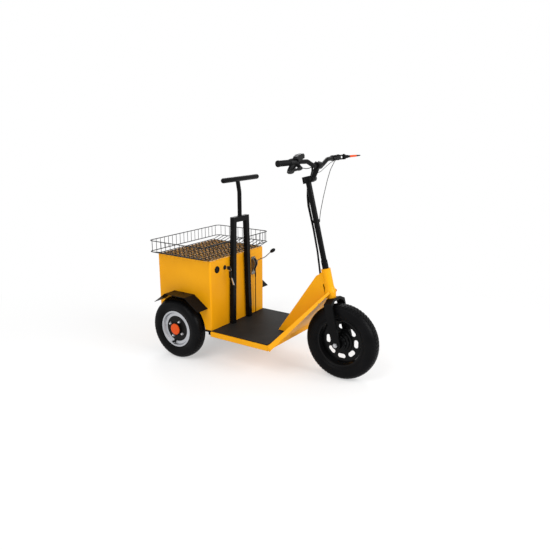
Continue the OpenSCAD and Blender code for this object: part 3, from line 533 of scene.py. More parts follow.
def tread_block(radius, low, half, y0, y1, sweep, skew):
    shape = bmesh.new()
    skins = []
    for lift, taper in ((0.0, BLOCK_TAPER), (-TREAD_DEPTH - BLOCK_ROOT, 1.0)):
        skin = []
        for y in spread(y0, y1, BLOCK_ACROSS):
            ring = low + (radius - low) * crown_at(abs(y)) + lift
            angles = [sweep * taper * share + skew * (y - y0) for share in spread(-0.5, 0.5, BLOCK_AROUND)]
            skin.append([shape.verts.new((ring * math.cos(a), ring * math.sin(a), y * half)) for a in angles])
        skins.append(skin)
    for skin in skins:
        for i in range(BLOCK_ACROSS - 1):
            for j in range(BLOCK_AROUND - 1):
                shape.faces.new([skin[i][j], skin[i + 1][j], skin[i + 1][j + 1], skin[i][j + 1]])
    top, foot = skins
    edge = [(i, 0) for i in range(BLOCK_ACROSS)]
    edge += [(BLOCK_ACROSS - 1, j) for j in range(1, BLOCK_AROUND)]
    edge += [(i, BLOCK_AROUND - 1) for i in range(BLOCK_ACROSS - 2, -1, -1)]
    edge += [(0, j) for j in range(BLOCK_AROUND - 2, 0, -1)]
    for (i, j), (k, m) in zip(edge, edge[1:] + edge[:1]):
        shape.faces.new([top[i][j], top[k][m], foot[k][m], foot[i][j]])
    shape.transform(Matrix.Scale(MM, 4))
    return kept(shape)


print("section points of a tyre:", len(CROWN) + len(WALL))

# %% [markdown]
# Each tyre takes its radius, its bore and its width from its own solid, so that the treaded tyre fills the
# same room. The carcass is lower by the depth of the tread, and the blocks bring it back to full size.

# %% Tyres
RIM_SEAT, CROWN_SHARE, BORE_SHARE = 0.6, 0.8, 0.8
TYRE_STEPS, TREAD_CREASE = 96, 30
# Rows of blocks: from and to across the tyre, length as a share of the pitch, skew, start as a share
TREAD_ROWS = [(-0.36, -0.02, 0.8, -0.10, 0.0), (0.02, 0.36, 0.8, 0.10, 0.5),
              (-0.86, -0.42, 0.78, 0.05, 0.25), (0.42, 0.86, 0.78, -0.05, 0.75)]


def tyre(name, hub, body, blocks):
    corners = [v.co for v in NODE[name].data.vertices]
    reach = [math.hypot(v.x - hub.x, v.z - hub.z) / MM for v in corners]
    radius, low = max(reach), min(reach) + RIM_SEAT
    half = max(abs(v.y - hub.y) for v in corners) / MM
    side = [(y * half, low + (radius - low) * r - TREAD_DEPTH * (r > CROWN_SHARE)) for y, r in CROWN + WALL]
    bore_half = side[-1][0] * BORE_SHARE
    ring = [(-y, r) for y, r in reversed(side)] + side[1:]
    ring += [(bore_half, low), (-bore_half, low), ring[0]]
    parts = [turned(ring, hub, LEFT, TYRE_STEPS)]
    pitch = 2 * math.pi / blocks
    for y0, y1, share, skew, shift in TREAD_ROWS:
        block = tread_block(radius, low, half, y0, y1, pitch * share, skew)
        parts.append(ring_of(block, blocks, 0, math.degrees(pitch) * shift, hub, LEFT, TYRE))
    piece(name + "_treaded", joined(*parts), TYRE, body, [name], TREAD_CREASE)
    print(name, "radius", round(radius, 1), "width", round(2 * half, 1))


tyre("front_tyre", FRONT_HUB, "front_wheel", blocks=64)
for side in ("right", "left"):
    tyre("rear_tyre_" + side, REAR_HUB[side], "rear_wheel_" + side, blocks=56)

# %% [markdown]
# Each rear hub has four dome nuts, and a valve in its notch. A dome nut is a hexagon with a rounded cap, and
# both are turned: a lathe with six steps makes a hexagon.

# %% Wheel nuts and valves
NUT_RING, NUT_COUNT, NUT_FIRST = 50.0, 4, 62.0
NUT_HALF, NUT_TALL = 8.5, 18.0
# Shares of the nut's height and of its half width
HEXAGON_SHARES = [(0, 0), (0, 1), (0.42, 1), (0.5, 0.86), (0.5, 0)]
DOME_SHARE, DOME_ANGLES = 0.84, (0, 0.3, 0.6, 0.9, 1.2, 1.4)
VALVE_RING, VALVE_TURN, VALVE_SINK = 83.0, math.radians(14.0), 4.0
VALVE = [(0, 0), (0, 8.5), (5, 8.5), (8, 5.4), (16, 5), (16, 5.8), (24, 5.8), (25, 4.8), (25, 0)]
DISC_FACE = 282.5


def dome_nut(half, tall):
    hexagon = turned([(tall * t, half * w) for t, w in HEXAGON_SHARES], Vector(), UP, steps=6)
    dome = [(tall * (0.5 + 0.5 * math.sin(a)), half * DOME_SHARE * math.cos(a)) for a in DOME_ANGLES]
    return joined(hexagon, turned(dome + [(tall, 0)], Vector(), UP, steps=24))


for side, outward in (("right", RIGHT), ("left", LEFT)):
    hub = REAR_HUB[side]
    face = Vector((hub.x, outward.y * DISC_FACE * MM, hub.z))
    nuts = ring_of(dome_nut(NUT_HALF, NUT_TALL), NUT_COUNT, NUT_RING, NUT_FIRST, face, outward, ZINC)
    piece("wheel_nuts_" + side, nuts, None, "rear_wheel_" + side)
    valve_way = Vector((-math.sin(VALVE_TURN), 0, -math.cos(VALVE_TURN)))
    foot = face + valve_way * VALVE_RING * MM - outward * VALVE_SINK * MM
    piece("valve_" + side, turned(VALVE, foot, outward, steps=20), GRIP, "rear_wheel_" + side)
print("wheel nuts:", 2 * NUT_COUNT)

# %% [markdown]
# The front wheel turns on a stepped boss, which stands out on both sides. Each side is turned from the same
# steps of depth and radius.

# %% Front boss
BOSS = [(0, 0), (0, 62), (9, 61), (11, 52), (24, 50), (26, 41), (42, 39), (44, 31), (51, 29), (52, 27),
        (52, 0)]
boss = [turned(BOSS, FRONT_HUB, outward, steps=64) for outward in (RIGHT, LEFT)]
piece("front_boss", joined(*boss), GLOSS, "front_wheel")
print("front boss depth:", BOSS[-1][0])

# %% [markdown]
# The basket is welded from wire: two rims with rounded corners, a row of uprights on each side, a floor of
# crossed wires, and wires that flare from the floor to the lower rim. Each kind is one set of paths, and
# the tube tree sweeps them all.

# %% Basket
RIM_WIRE, THIN_WIRE, FLOOR_WIRE = 2.5, 1.5, 2.1
RIM_CORNER, WIRE_BEND, BASKET_CREASE = 26.0, 8.0, 50
RIMS = (613.0, 677.0)
BASKET_X, BASKET_Y = (-167.5, 231.5), 307.5
FLOOR_X, FLOOR_Y = (-148.0, 222.0), 240.0
LONG_WIRE_Z, CROSS_WIRE_Z = 594.6, 597.6
END_WIRES, SIDE_WIRES, FLOOR_LONG, FLOOR_CROSS = 18, 11, 17, 13
BASKET_NODES = ["basket_floor", "basket_ends", "basket_sides", "basket_corners"]
back, front = BASKET_X
outline = [(back, -BASKET_Y), (front, -BASKET_Y), (front, BASKET_Y), (back, BASKET_Y)]
rim_paths = [[at(x, y, z) for x, y in outline] for z in RIMS]
rims = tubes(rim_paths, RIM_WIRE, RIM_CORNER, WIRE, sides=12, closed=True)
end_y = spread(-BASKET_Y + RIM_CORNER, BASKET_Y - RIM_CORNER, END_WIRES)
side_x = spread(back + RIM_CORNER, front - RIM_CORNER, SIDE_WIRES)
stands = [(x, y) for x in BASKET_X for y in end_y]
stands += [(x, y) for x in side_x for y in (-BASKET_Y, BASKET_Y)]
thin = tubes([[at(x, y, z) for z in RIMS] for x, y in stands], THIN_WIRE, WIRE_BEND, WIRE, sides=8)
flare = [(BASKET_Y, RIMS[0]), (FLOOR_Y, CROSS_WIRE_Z), (-FLOOR_Y, CROSS_WIRE_Z), (-BASKET_Y, RIMS[0])]
nets = [[at(x, y, z) for y, z in flare] for x in spread(*FLOOR_X, FLOOR_CROSS)]
nets += [[at(x, y, LONG_WIRE_Z) for x in FLOOR_X] for y in spread(-FLOOR_Y, FLOOR_Y, FLOOR_LONG)]
net = tubes(nets, FLOOR_WIRE, WIRE_BEND, WIRE, sides=10)
piece("basket_wires", joined(rims, thin, net), WIRE, "chassis", BASKET_NODES, BASKET_CREASE)
print("basket wires:", len(stands) + len(nets))

# %% [markdown]
# The handlebar is one bent tube. It starts flat in the stem's clamp, rises to each side and sweeps back to
# the grips, so half of its route is written and the other half mirrored.

# %% Handlebar
BAR_RADIUS, BAR_BEND = 11.1, 34.0
BAR_HALF = [(752.0, 42.0, 1115.0), (747.86, 99.9, 1140.11), (740.04, 165.0, 1142.0), (706.0, 300.0, 1139.03)]
bar_path = [at(x, -y, z) for x, y, z in reversed(BAR_HALF)] + [at(*p) for p in BAR_HALF]
bar = tubes([bar_path], BAR_RADIUS, BAR_BEND, BLACK, sides=40)
piece("handlebar_tube", bar, None, "steering", ["handlebar"])
print("handlebar points:", len(bar_path))

# %% [markdown]
# The lean bar is a closed tube with round ends on a post that bends back. The cross bar is turned, because
# its ends are quarter circles, and the post is swept.

# %% Lean bar
LEAN_Z, LEAN_HALF, LEAN_RADIUS = 1023.0, 165.0, 14.0
POST_RADIUS, POST_BEND, POST_FOOT, POST_KNEE, POST_OVERLAP = 12.0, 70.0, 812.0, 948.0, 3.0
# Height of the post's cap, and its radius as a share of the post's
POST_CAP = [(0, 1), (2, 0.9), (4, 0.5), (4.6, 0)]
LEAN_X = (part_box("lean_bar")[1].x - REAR_X) / MM - LEAN_RADIUS
POST_X = (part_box("support_frame")[0].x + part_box("support_frame")[1].x - 2 * REAR_X) / MM / 2
POST_TOP = LEAN_X - LEAN_RADIUS - POST_RADIUS + POST_OVERLAP
quarter = spread(0, math.pi / 2, 8)
end = [(LEAN_RADIUS * (1 - math.cos(a)), LEAN_RADIUS * math.sin(a)) for a in quarter]
rounded = end + [(2 * LEAN_HALF - x, r) for x, r in reversed(end)]
lean = turned(rounded, at(LEAN_X, -LEAN_HALF, LEAN_Z), LEFT, steps=40)
post_path = [at(POST_X, 0, POST_FOOT), at(POST_X, 0, POST_KNEE), at(POST_TOP, 0, LEAN_Z)]
post = tubes([post_path], POST_RADIUS, POST_BEND, BLACK, sides=32)
cap_profile = [(tall, POST_RADIUS * share) for tall, share in POST_CAP]
cap = turned(cap_profile, post_path[2], post_path[2] - post_path[1], steps=32)
piece("lean_bar_tube", joined(lean, post, cap), BLACK, "chassis", ["lean_bar"])
print("lean bar length:", 2 * LEAN_HALF)

# %% [markdown]
# Each grip is a turned sleeve of rubber with fine ribs and a wider end. Its axis is the last straight run
# of the bar, so it is read from the bar's own points.

# %% Grips
BAR_GAP = 0.1
BAR_BORE = BAR_RADIUS + BAR_GAP
GRIP_LENGTH, GRIP_RADIUS, GRIP_END = 98.0, 14.5, 16.0
GRIP_ROOT, GRIP_TIP = Vector(BAR_HALF[2]), Vector(BAR_HALF[3])
GRIP_AXIS = (GRIP_TIP - GRIP_ROOT).normalized()
GRIP_START = GRIP_TIP - GRIP_AXIS * GRIP_LENGTH
RIB_FIRST, RIB_PITCH, RIB_COUNT = 8, 5, 16
# Distance along the grip, and depth below its radius: the plain root, one rib, and the closed end
ROOT_STEPS = [(0, 0.6), (0.8, 0), (7, 0)]
RIB_STEPS = [(0, 0.9), (1.2, 0.9), (2.0, 0), (4.2, 0)]
END_STEPS = [(91, 0), (97, 0), (99.6, 1), (100.9, 4), (100.9, GRIP_END)]
END_START = (89.5, GRIP_RADIUS - 0.4)
sleeve = [(0, BAR_BORE)] + [(along, GRIP_RADIUS - depth) for along, depth in ROOT_STEPS]
for k in range(RIB_COUNT):
    sleeve += [(RIB_FIRST + k * RIB_PITCH + along, GRIP_RADIUS - depth) for along, depth in RIB_STEPS]
sleeve += [END_START] + [(along, GRIP_END - depth) for along, depth in END_STEPS]


def mirrored(point, side):
    return Vector((point[0], point[1] * side, point[2]))


for side, name in ((1, "left"), (-1, "right")):
    rubber = turned(sleeve, at(*mirrored(GRIP_START, side)), mirrored(GRIP_AXIS, side), steps=40)
    piece("grip_" + name, rubber, GRIP, "steering", ["grips"] if side > 0 else ())
print("ribs on each grip:", RIB_COUNT)

# %% [markdown]
# The throttle sits against the right grip: a round housing on the bar, whose sleeve reaches over the grip,
# and a thumb paddle that leans back as it goes down. The housing is turned, and the paddle is lofted from
# rounded sections that swell and then close.

# %% Throttle
HOUSING = [(-22, BAR_BORE), (-22, 17.5), (-20, 19.4), (-17, 20), (2, 20), (11, 19.2), (18, 17.6), (22, 15.8),
           (22, BAR_BORE), (-22, BAR_BORE)]
# Sections of the paddle: x, y, z, half width along x, half width along y
PADDLE = [(735, -206, 1138, 11, 15), (732, -210, 1122, 14, 20), (728, -214, 1107, 15.5, 22),
          (726, -216, 1096, 14.5, 20.5), (725, -217, 1089.5, 11, 16), (724.5, -217, 1087, 6, 9)]
housing = turned(HOUSING, at(*mirrored(GRIP_START, -1)), mirrored(GRIP_AXIS, -1))
thumb = [(at(x, y, z), FORWARD * along, LEFT * across) for x, y, z, along, across in PADDLE]
paddle = lofted(thumb, sides=28, square=0.7)
piece("throttle_body", joined(housing, paddle), PLASTIC, "steering", ["throttle"])
print("throttle with its paddle")

# %% [markdown]
# A brake lever has a clamp round the bar, an arm to the pivot and a blade that tapers to its tip. The left
# arm is two thin cheeks and the right one is a solid root. Sections along arm and blade are lofted, so that
# a blade is thick at the pivot and thin at its tip. The left blade carries an orange sleeve.

# %% Helpers for levers
PERCH_SHARE, PERCH_RADIUS, PERCH_LENGTH = 0.062, 15.0, 16.0
PERCH_AT = GRIP_ROOT + (GRIP_TIP - GRIP_ROOT) * PERCH_SHARE
PIN_HEAD_RADIUS, PIN_HEAD_TALL = 4.0, 2.5


def collar(start, end, bore, radius, chamfer=1.0):
    return [(start, bore), (start, radius - chamfer), (start + chamfer, radius), (end - chamfer, radius),
            (end, radius - chamfer), (end, bore), (start, bore)]


def pivot_pin(radius, half):
    top = half + PIN_HEAD_TALL
    return collar(-half, half, 0, radius)[:5] + [(half, PIN_HEAD_RADIUS), (top, PIN_HEAD_RADIUS), (top, 0)]


def square_to(run):
    along = run.normalized()
    over = along.cross(UP).normalized()
    return along, over, over.cross(along)


def blade(pivot, tip, stations):
    run = tip - pivot
    over, up = square_to(run)[1:]
    sections = [(at(*(pivot + run * share)), over * wide, up * tall) for share, wide, tall in stations]
    return lofted(sections, square=0.8)


# %% [markdown]
# Pivot and tip are counted from the clamp, and each row of an arm is a distance with two half widths. The
# pin of the left lever stands up, and that of the right lever lies across.

# %% Brake levers
LEVERS = {
    "left": {"side": 1, "pivot": (50.1, 36.0, 6.9), "tip": (86.1, 152.6, 10.2), "root": 0.0,
             "pin": (9.0, 13.0), "arm": [(12.5, 5, 4.5), (30, 4, 3.4)], "arm_end": (5.0, 4.0),
             "cheeks": (-9.0, 9.0)},
    "right": {"side": -1, "pivot": (24.9, -8.1, -27.9), "tip": (41.1, -153.0, -38.1), "root": 20.0,
              "pin": (7.0, 8.0), "arm": [(8, 12, 12), (20, 11, 11)], "arm_end": (6.5, 6.5), "cheeks": (0.0,)},
}
# Sections of a blade and of the sleeve: share of the way to the tip, half width, half height
BLADE = [(-0.02, 7, 8), (0.08, 8, 9.5), (0.2, 7, 8.5), (0.3, 5, 6), (0.5, 4.6, 5.4), (0.8, 3.8, 4.4),
         (0.98, 2.6, 3), (1.03, 1.4, 1.6)]
SLEEVE = [(0.34, 4.6, 5.2), (0.355, 5.4, 5.9), (0.74, 5.0, 5.4), (0.76, 4.2, 4.7)]
for name, lever in LEVERS.items():
    side = lever["side"]
    clamp_at, axis = mirrored(PERCH_AT, side), mirrored(GRIP_AXIS, side)
    pivot, tip = clamp_at + Vector(lever["pivot"]), clamp_at + Vector(lever["tip"])
    clamp = collar(0, PERCH_LENGTH, BAR_BORE, PERCH_RADIUS)
    parts = [turned(clamp, at(*(clamp_at - axis * PERCH_LENGTH / 2)), axis, steps=36)]
    root = clamp_at + axis * lever["root"]
    away, over, up = square_to(pivot - root)
    arm = lever["arm"] + [((pivot - root).length, *lever["arm_end"])]
    for lift in lever["cheeks"]:
        cheek = [(at(*(root + away * d + up * lift)), over * wide, up * tall) for d, wide, tall in arm]
        parts.append(lofted(cheek, sides=16, square=0.7))
    parts.append(turned(pivot_pin(*lever["pin"]), at(*pivot), up if side > 0 else over, steps=28))
    parts.append(blade(pivot, tip, BLADE))
    piece("lever_" + name, joined(*parts), BLACK, "steering", ["brake_levers"] if side > 0 else ())
    if side > 0:
        piece("lever_sleeve", blade(pivot, tip, SLEEVE), ORANGE, "steering")
print("levers:", list(LEVERS))

# %% [markdown]
# The display beside the throttle faces the rider. Its solid has the shape of the housing, and what is added
# is a dark glass and two round keys under it.

# %% Display
SCREEN_LOW, SCREEN_HIGH, SCREEN_EDGE = (733.8, -192, 1163), (735.6, -150, 1177), 0.7
KEY_CAP = [(0, 0), (0, 4), (1.2, 4), (1.8, 3), (1.8, 0)]
KEY_CAP_X, KEY_CAP_Z, KEY_CAPS_Y = 735.2, 1153, (-174, -160)
piece("display_screen", rounded_box(SCREEN_LOW, SCREEN_HIGH, SCREEN_EDGE), SCREEN, "steering")
keys = [turned(KEY_CAP, at(KEY_CAP_X, y, KEY_CAP_Z), -FORWARD, steps=24) for y in KEY_CAPS_Y]
piece("display_keys", joined(*keys), GRIP, "steering")
print("display keys:", len(KEY_CAPS_Y))

# %% [markdown]
# The cables leave the stem and hang beside the column. The loom is two cables side by side, from the stem down
# into the neck's hole. It rides on no body, and its place is baked into its points.

# %% Cable loom
LOOM = [(736, -32, 1112), (714, 8, 1086), (690, 32, 1046), (678, 24, 1008), (691, 2, 952), (698, 0, 905),
        (731, 0, 788), (758, 0, 670), (778, 0, 546)]
LOOM_RADIUS, LOOM_BEND = 3.7, 60.0
# The second strand stands off the route, forward and left, by a share at each point, the first to the right
STRAND_FORWARD, STRAND_LEFT, STRAND_SHIFT = 4.0, 10.0, -2.0
SPLIT_SHARES = (0.0, 0.4, 0.6, 0.6, 0.6, 0.55, 0.3, 0.2, 0.2)
first = [at(x, y + STRAND_SHIFT, z) for x, y, z in LOOM]
second = []
for (x, y, z), share in zip(LOOM, SPLIT_SHARES):
    second.append(at(x + STRAND_FORWARD * share, y + STRAND_LEFT * share, z))
strands = tubes([first, second], LOOM_RADIUS, LOOM_BEND, GRIP)
loom = piece("loom_strands", strands, None, None, ["cable_loom"])
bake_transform(loom)
print("loom strands: 2")

# %% [markdown]
# Three thinner cables belong to the brake levers. The left one hangs in a long curve down to a lug on the
# column, where a ferrule ends it. The others go straight to the stem.

# %% Lever cables
LEFT_CABLE = [(761.5, 181.1, 1138.6), (766, 150, 1130), (765, 108, 1089), (764, 76, 1032), (763, 42, 952),
              (761, 19, 880), (759, 13, 830)]
RIGHT_CABLE = [(761, -170, 1114), (754, -120, 1107), (744, -70, 1106), (737, -38, 1110)]
LEFT_LEAD = [(752, 168, 1129), (752, 128, 1121), (747, 82, 1100), (744, 44, 1082), (742, 12, 1076)]
LUG = [(13, 0), (13, 6), (15.5, 5), (17.5, 4.2), (19, 3.2), (19.6, 0)]
LUG_AT, LUG_WAY = (747.3, 0, 830), (11.7, 13, 3)
FERRULE = [(0, 0), (0, 2.8), (12, 2.8), (13, 2.2), (13, 0)]
FERRULE_AT, FERRULE_WAY = (759, 13, 824), (2, 6, 50)


def cable(name, points, radius, bend, sides, replaces=()):
    run = tubes([[at(*p) for p in points]], radius, bend, GRIP, sides)
    piece(name, run, None, "steering", replaces)


cable("left_cable_run", LEFT_CABLE, radius=1.7, bend=60, sides=14, replaces=["left_cable"])
lug = turned(LUG, at(*LUG_AT), LUG_WAY, steps=20)
ferrule = turned(FERRULE, at(*FERRULE_AT), FERRULE_WAY, steps=16)
piece("cable_lug", joined(lug, ferrule), BLACK, "steering")
cable("right_cable_run", RIGHT_CABLE, radius=2.0, bend=40, sides=14)
cable("left_lead_run", LEFT_LEAD, radius=1.3, bend=40, sides=12)
print("lever cables: 3")

# %% [markdown]
# The hand brake is a bent rod with a knob, held by an eye on its bracket. Its route lies in one plane, so
# only x and z are written.

# %% Hand brake
BRAKE_Y = 144.0
BRAKE_ROUTE = [(250.2, 515.6), (276, 536), (322, 557), (361, 592), (379.2, 604.6)]
BRAKE_RADIUS, BRAKE_BEND = 3.0, 90.0
EYE_HALF, EYE_BORE, EYE_RADIUS = 7.0, 3.0, 10.0
KNOB = [(0, 0), (0, 4.5), (3, 7.5), (9, 9.6), (18, 10.8), (27, 10), (33, 7.4), (37, 3.6), (38.4, 0)]
KNOB_WAY = (35, 0, 25)
brake_path = [at(x, BRAKE_Y, z) for x, z in BRAKE_ROUTE]
rod = tubes([brake_path], BRAKE_RADIUS, BRAKE_BEND, SILVER)
piece("hand_brake_rod", rod, SILVER, "chassis", ["hand_brake"])
eye = turned(collar(-EYE_HALF, EYE_HALF, EYE_BORE, EYE_RADIUS), brake_path[0], LEFT, steps=28)
piece("hand_brake_eye", eye, IRON, "chassis")
piece("hand_brake_knob", turned(KNOB, brake_path[3], KNOB_WAY, steps=32), PLASTIC, "chassis")
print("hand brake points:", len(BRAKE_ROUTE))

# %% [markdown]
# The key sits in its switch on the box, with a fob and a tag on its ring. Boxes with soft edges make bow, fob
# and shank, a thin tube makes the ring, and the tag is a flat loft that hangs at a slant.

# %% Key
KEY_X, KEY_Y, KEY_Z = 232.3, -124.0, 537.0
BARREL = [(0, 0), (0, 13), (1.4, 13), (2, 11), (5, 10.6), (5.4, 9), (5.4, 0)]
RING_X, RING_Z, RING_WIRE, RING_BEND = 271.0, 529.0, 0.9, 0.5
RING_ACROSS, RING_LEAN, RING_TALL = 8.0, 2.0, 9.0
# Boxes of the key: x from and to, z from and to, half thickness, soft edge
SHANK, BOW = (237, 255, 533, 541, 1.2, 0.5), (251, 274, 526, 548, 3.2, 2.6)
FOB = (263, 282, 481, 520, 3.5, 2.6)
# Sections of the tag: x, z, half width
TAG, TAG_HALF = [(280, 484, 3), (283, 476, 5), (295, 444, 5)], 1.0


def key_box(x0, x1, z0, z1, half, edge):
    return rounded_box((x0, KEY_Y - half, z0), (x1, KEY_Y + half, z1), edge)


def ring_point(a):
    c, s = math.cos(a), math.sin(a)
    return at(RING_X + RING_ACROSS * c, KEY_Y + RING_LEAN * s, RING_Z + RING_TALL * s)


barrel = turned(BARREL, at(KEY_X, KEY_Y, KEY_Z), FORWARD, steps=32)
piece("key_barrel", barrel, PLASTIC, "chassis", ["key_switch"])
ring_path = [ring_point(a) for a in full_turn(24)]
ring = tubes([ring_path], RING_WIRE, RING_BEND, ZINC, sides=8, closed=True)
piece("key_metal", joined(key_box(*SHANK), ring), ZINC, "chassis")
tag = [(at(x, KEY_Y, z), FORWARD * wide, LEFT * TAG_HALF) for x, z, wide in TAG]
piece("key_tag", lofted(tag, sides=16, square=0.4), SILVER, "chassis")
piece("key_bow", joined(key_box(*BOW), key_box(*FOB)), PLASTIC, "chassis")
print("key with fob, ring and tag")

# %% [markdown]
# What is left is what holds the tractor together. Bolts close the stem's clamps, and screws hold the guards,
# the bracket, the socket, the lid and the hitch. One screw with a hollow head is turned for each row, and the
# point tree sets it in its places.

# %% Helpers for screws
# Shares of a head's height and radius
HEAD_SHARES = [(0, 0), (0, 1), (0.5, 1), (0.85, 0.8), (1, 0.55), (1, 0.4), (0.5, 0.4), (0.5, 0)]


def screws(name, axis, radius, tall, points, material, body):
    head = turned([(tall * t, radius * r) for t, r in HEAD_SHARES], Vector(), axis, steps=20)
    piece(name, copies_at(head, points, material), None, body)
    print(name, len(points))


# %% [markdown]
# The stem's clamp leans with the bar, so its bolts are counted from the clamp's middle: along its face, and
# out of it. The knuckle below has a nut on each side and two bolts through its ears.

# %% Stem bolts
CLAMP_AT, CLAMP_OUT = (74.8, 527.1), (0.631, 0.776)
CLAMP_FACE, BOLT_ACROSS, BOLT_OFF = 13.6, 15, 12.0
# Radius and height of a bolt's head
CLAMP_BOLT, EAR_BOLT = (3.4, 4), (4, 5)
KNUCKLE_NUT = [(0, 0), (0, 8), (4.6, 8), (5.4, 6.6), (5.4, 0)]
KNUCKLE_FORWARD, KNUCKLE_ACROSS, KNUCKLE_UP = 28, 19.4, 469.5
EAR_PLACES = [(-21, 12, 461), (-21, 12, 478)]
clamp_bolts = []
for across in (-BOLT_ACROSS, BOLT_ACROSS):
    for off in (-BOLT_OFF, BOLT_OFF):
        forward = CLAMP_AT[0] - CLAMP_OUT[1] * off + CLAMP_OUT[0] * CLAMP_FACE
        up = CLAMP_AT[1] + CLAMP_OUT[0] * off + CLAMP_OUT[1] * CLAMP_FACE
        clamp_bolts.append(steered(forward, across, up))
clamp_way = STEER_FORWARD * CLAMP_OUT[0] + STEER_UP * CLAMP_OUT[1]
screws("clamp_bolts", clamp_way, *CLAMP_BOLT, clamp_bolts, IRON, "steering")
for side, name in ((LEFT, "left"), (RIGHT, "right")):
    nut_at = steered(KNUCKLE_FORWARD, side.y * KNUCKLE_ACROSS, KNUCKLE_UP)
    piece("knuckle_nut_" + name, turned(KNUCKLE_NUT, nut_at, side, steps=6), IRON, "steering")

# %% [markdown]
# The other screws lie in rows on flat plates, so each row of the table holds the x, y and z of a small grid.

# %% Screws
# Name, way out, radius and height of the head, the places' x, y and z, finish
SCREW_ROWS = [("guard_screws", UP, 5, 3, (-30.0, 40.0, 105.0), (-262, 262), (390.1,), BLACK),
              ("bracket_screws", FORWARD, 3.6, 2.4, (235.2,), (132, 156), (449, 539), ZINC),
              ("socket_screws", FORWARD, 1.8, 1.2, (234.2,), (-204.4, -179.6), (525.6, 550.4), ZINC),
              ("lid_screws", UP, 4.5, 2.6, (-136, 210), (-226, 226), (591.0,), ZINC),
              ("hitch_screws", -FORWARD, 6, 5, (-166.2,), (-36, 36), (222, 278), ZINC)]
for name, way, radius, tall, xs, ys, zs, coat in SCREW_ROWS:
    screws(name, way, radius, tall, [at(x, y, z) for x in xs for y in ys for z in zs], coat, "chassis")
screws("ear_bolts", LEFT, *EAR_BOLT, [steered(*place) for place in EAR_PLACES], ZINC, "steering")

# %% [markdown]
# The box stands on two short black sills. They show as a dark block under each of its front corners.

# %% Sills
SILL_X, SILL_Y, SILL_Z, SILL_EDGE = (182.0, 231.0), (236.0, 249.0), (184.0, 197.2), 1.0
sills = []
for y0, y1 in ((-SILL_Y[1], -SILL_Y[0]), SILL_Y):
    sills.append(rounded_box((SILL_X[0], y0, SILL_Z[0]), (SILL_X[1], y1, SILL_Z[1]), SILL_EDGE))
piece("box_sills", joined(*sills), BLACK, "chassis")
print("sills under the box:", len(sills))

# %% [markdown]
# Weld beads run where plates and tubes meet: along the neck and the head tube, up the riser, round the foot
# of the lean bar's post and over the hitch. A bead is painted with what it joins.

# %% Welds
WELD_CREASE, PLATE_BEAD, POST_BEAD = 60, 2.4, 2.0
HEAD_WELD = [(-12, 22.2, -4), (-12, 22.2, -118)]
RISER_FOOT, RISER_SLOPE, RISER_RUN = (619, 22.6, 195), math.radians(50.6), (4, 296)
POST_WELD_RADIUS, POST_WELD_Z = 12.6, 814.4
HITCH_X, HITCH_HALF, HITCH_Z = -166.5, 30, (224.5, 275.5)
neck_welds = [[steered(f, side * a, u) for f, a, u in HEAD_WELD] for side in (-1, 1)]
x, y, z = RISER_FOOT
rise, run = math.sin(RISER_SLOPE), math.cos(RISER_SLOPE)
neck_welds += [[at(x + d * run, side * y, z + d * rise) for d in RISER_RUN] for side in (-1, 1)]
piece("neck_welds", bead(neck_welds, PLATE_BEAD, YELLOW), None, "chassis", crease=WELD_CREASE)
circle = [(POST_WELD_RADIUS * math.cos(a), POST_WELD_RADIUS * math.sin(a)) for a in full_turn(32)]
foot_ring = [at(POST_X + x, y, POST_WELD_Z) for x, y in circle]
piece("post_weld", bead([foot_ring], POST_BEAD, BLACK, closed=True), None, "chassis", crease=WELD_CREASE)
hitch_welds = [[at(HITCH_X, -HITCH_HALF, z), at(HITCH_X, HITCH_HALF, z)] for z in HITCH_Z]
piece("hitch_welds", bead(hitch_welds, PLATE_BEAD, BLACK), None, "chassis", crease=WELD_CREASE)
print("weld beads:", len(neck_welds) + 1 + len(hitch_welds))

# %% [markdown]
# The camera stands where the photographer stood: to the right and in front of the tractor, a little above
# it, looking down by about fifteen degrees. The picture is square, so a lens in millimetres on a 36 mm
# sensor gives the same view whatever the size of the picture.

# %% Camera
CAMERA_AT = Vector((1.80355, -2.61936, 1.33974))
CAMERA_AZIMUTH = math.radians(34.02)
CAMERA_PITCH = math.radians(14.82)
CAMERA_LENS, CAMERA_SENSOR = 38.48, 36.0

lens = bpy.data.cameras.new("Photographer")
lens.sensor_fit = "HORIZONTAL"
lens.sensor_width = CAMERA_SENSOR
lens.lens = CAMERA_LENS
camera = bpy.data.objects.new("Photographer", lens)
camera.location = CAMERA_AT
camera.rotation_euler = (math.pi / 2 - CAMERA_PITCH, 0, CAMERA_AZIMUTH)
bpy.context.scene.collection.objects.link(camera)
bpy.context.scene.camera = camera
print("camera at", [round(v, 3) for v in CAMERA_AT])

# %% [markdown]
# A studio for a catalogue picture is a white room with large soft lamps. The world is white where the
# camera or a reflection sees it and dimmer where it lights the object, so that the lamps can shape the
# forms. Light Path tells the two apart.

# %% White room
WORLD_LIGHT, WORLD_SEEN = 0.48, 1.0
scene = bpy.context.scene
scene.view_settings.view_transform = "Standard"
world = bpy.data.worlds.new("White room")
scene.world = world
world.use_nodes = True
room = world.node_tree
ray = add_node(room, "ShaderNodeLightPath")
seen = reckon(room, "ADD", ray["Is Camera Ray"], ray["Is Glossy Ray"])
seen = reckon(room, "ADD", seen, ray["Is Transmission Ray"])
level = add_node(room, "ShaderNodeMapRange", Value=seen, To_Min=WORLD_LIGHT, To_Max=WORLD_SEEN)["Result"]
sky = room.nodes["Background"]
sky.inputs["Color"].default_value = (1, 1, 1, 1)
feed(room, level, sky.inputs["Strength"])
print("world light:", WORLD_LIGHT)

# %% [markdown]
# Three square lamps do the shaping. A key lamp stands to the right and above, a second one in front, and a
# weaker one behind draws the far edges. All look at the middle of the tractor.

# %% Lamps
LAMP_AIM = Vector((0, 0, 0.45))
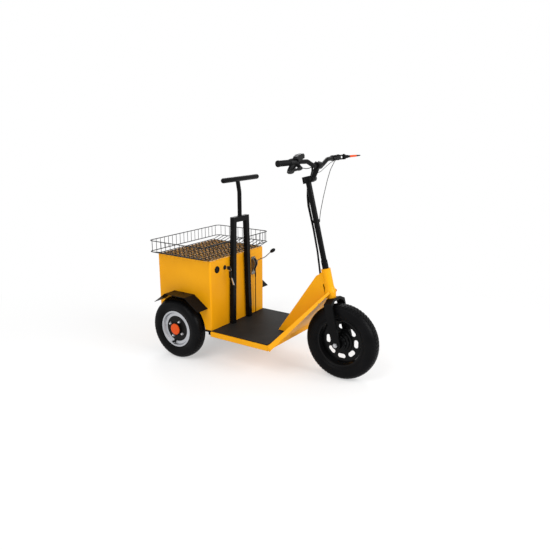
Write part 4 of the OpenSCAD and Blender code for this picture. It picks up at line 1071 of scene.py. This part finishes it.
# Name, place, size in metres, power in watts
LAMPS = [("Key", (0.2, -3.6, 3.4), 2.6, 110.0), ("Front", (3.6, 0.2, 2.4), 2.2, 105.0),
         ("Rim", (-2.6, 2.6, 3.2), 2.4, 70.0)]
for name, place, size, power in LAMPS:
    light = bpy.data.lights.new(name, "AREA")
    light.size = size
    light.energy = power
    lamp = bpy.data.objects.new(name, light)
    lamp.location = place
    lamp.rotation_euler = (LAMP_AIM - Vector(place)).to_track_quat("-Z", "Y").to_euler()
    scene.collection.objects.link(lamp)
print("lamps:", [row[0] for row in LAMPS])

# %% [markdown]
# The floor takes the shadow near the tractor and fades to plain white far from it. A plain surface and a
# white glow are mixed by the distance from the middle.

# %% Floor
FLOOR_HALF, FLOOR_TONE, FLOOR_GLOW = 30.0, 0.93, 0.45
FADE_START, FADE_END = 0.8, 2.4
tone = (FLOOR_TONE, FLOOR_TONE, FLOOR_TONE, 1)
floor_paint, floor_shader = finish("floor", Roughness=0.9, Specular_IOR_Level=0.1, Base_Color=tone)
tree = floor_paint.node_tree
spot = add_node(tree, "ShaderNodeTexCoord")["Object"]
distance = add_node(tree, "ShaderNodeVectorMath", {"operation": "LENGTH"}, Vector=spot)["Value"]
fade = add_node(tree, "ShaderNodeMapRange", {"interpolation_type": "SMOOTHSTEP"}, Value=distance,
                From_Min=FADE_START, From_Max=FADE_END, To_Min=FLOOR_GLOW)["Result"]
glow = add_node(tree, "ShaderNodeEmission")["Emission"]
mixed = add_node(tree, "ShaderNodeMixShader")["Shader"]
for socket, source in zip(mixed.node.inputs, (fade, floor_shader.outputs["BSDF"], glow)):
    feed(tree, source, socket)
feed(tree, mixed, tree.nodes["Material Output"].inputs["Surface"])
ground = bpy.data.meshes.new("Floor")
corners = [(-1, -1), (1, -1), (1, 1), (-1, 1)]
ground.from_pydata([(x * FLOOR_HALF, y * FLOOR_HALF, 0) for x, y in corners], [], [(0, 1, 2, 3)])
ground.materials.append(floor_paint)
floor = bpy.data.objects.new("Floor", ground)
scene.collection.objects.link(floor)
print("floor:", 2 * FLOOR_HALF, "m wide")
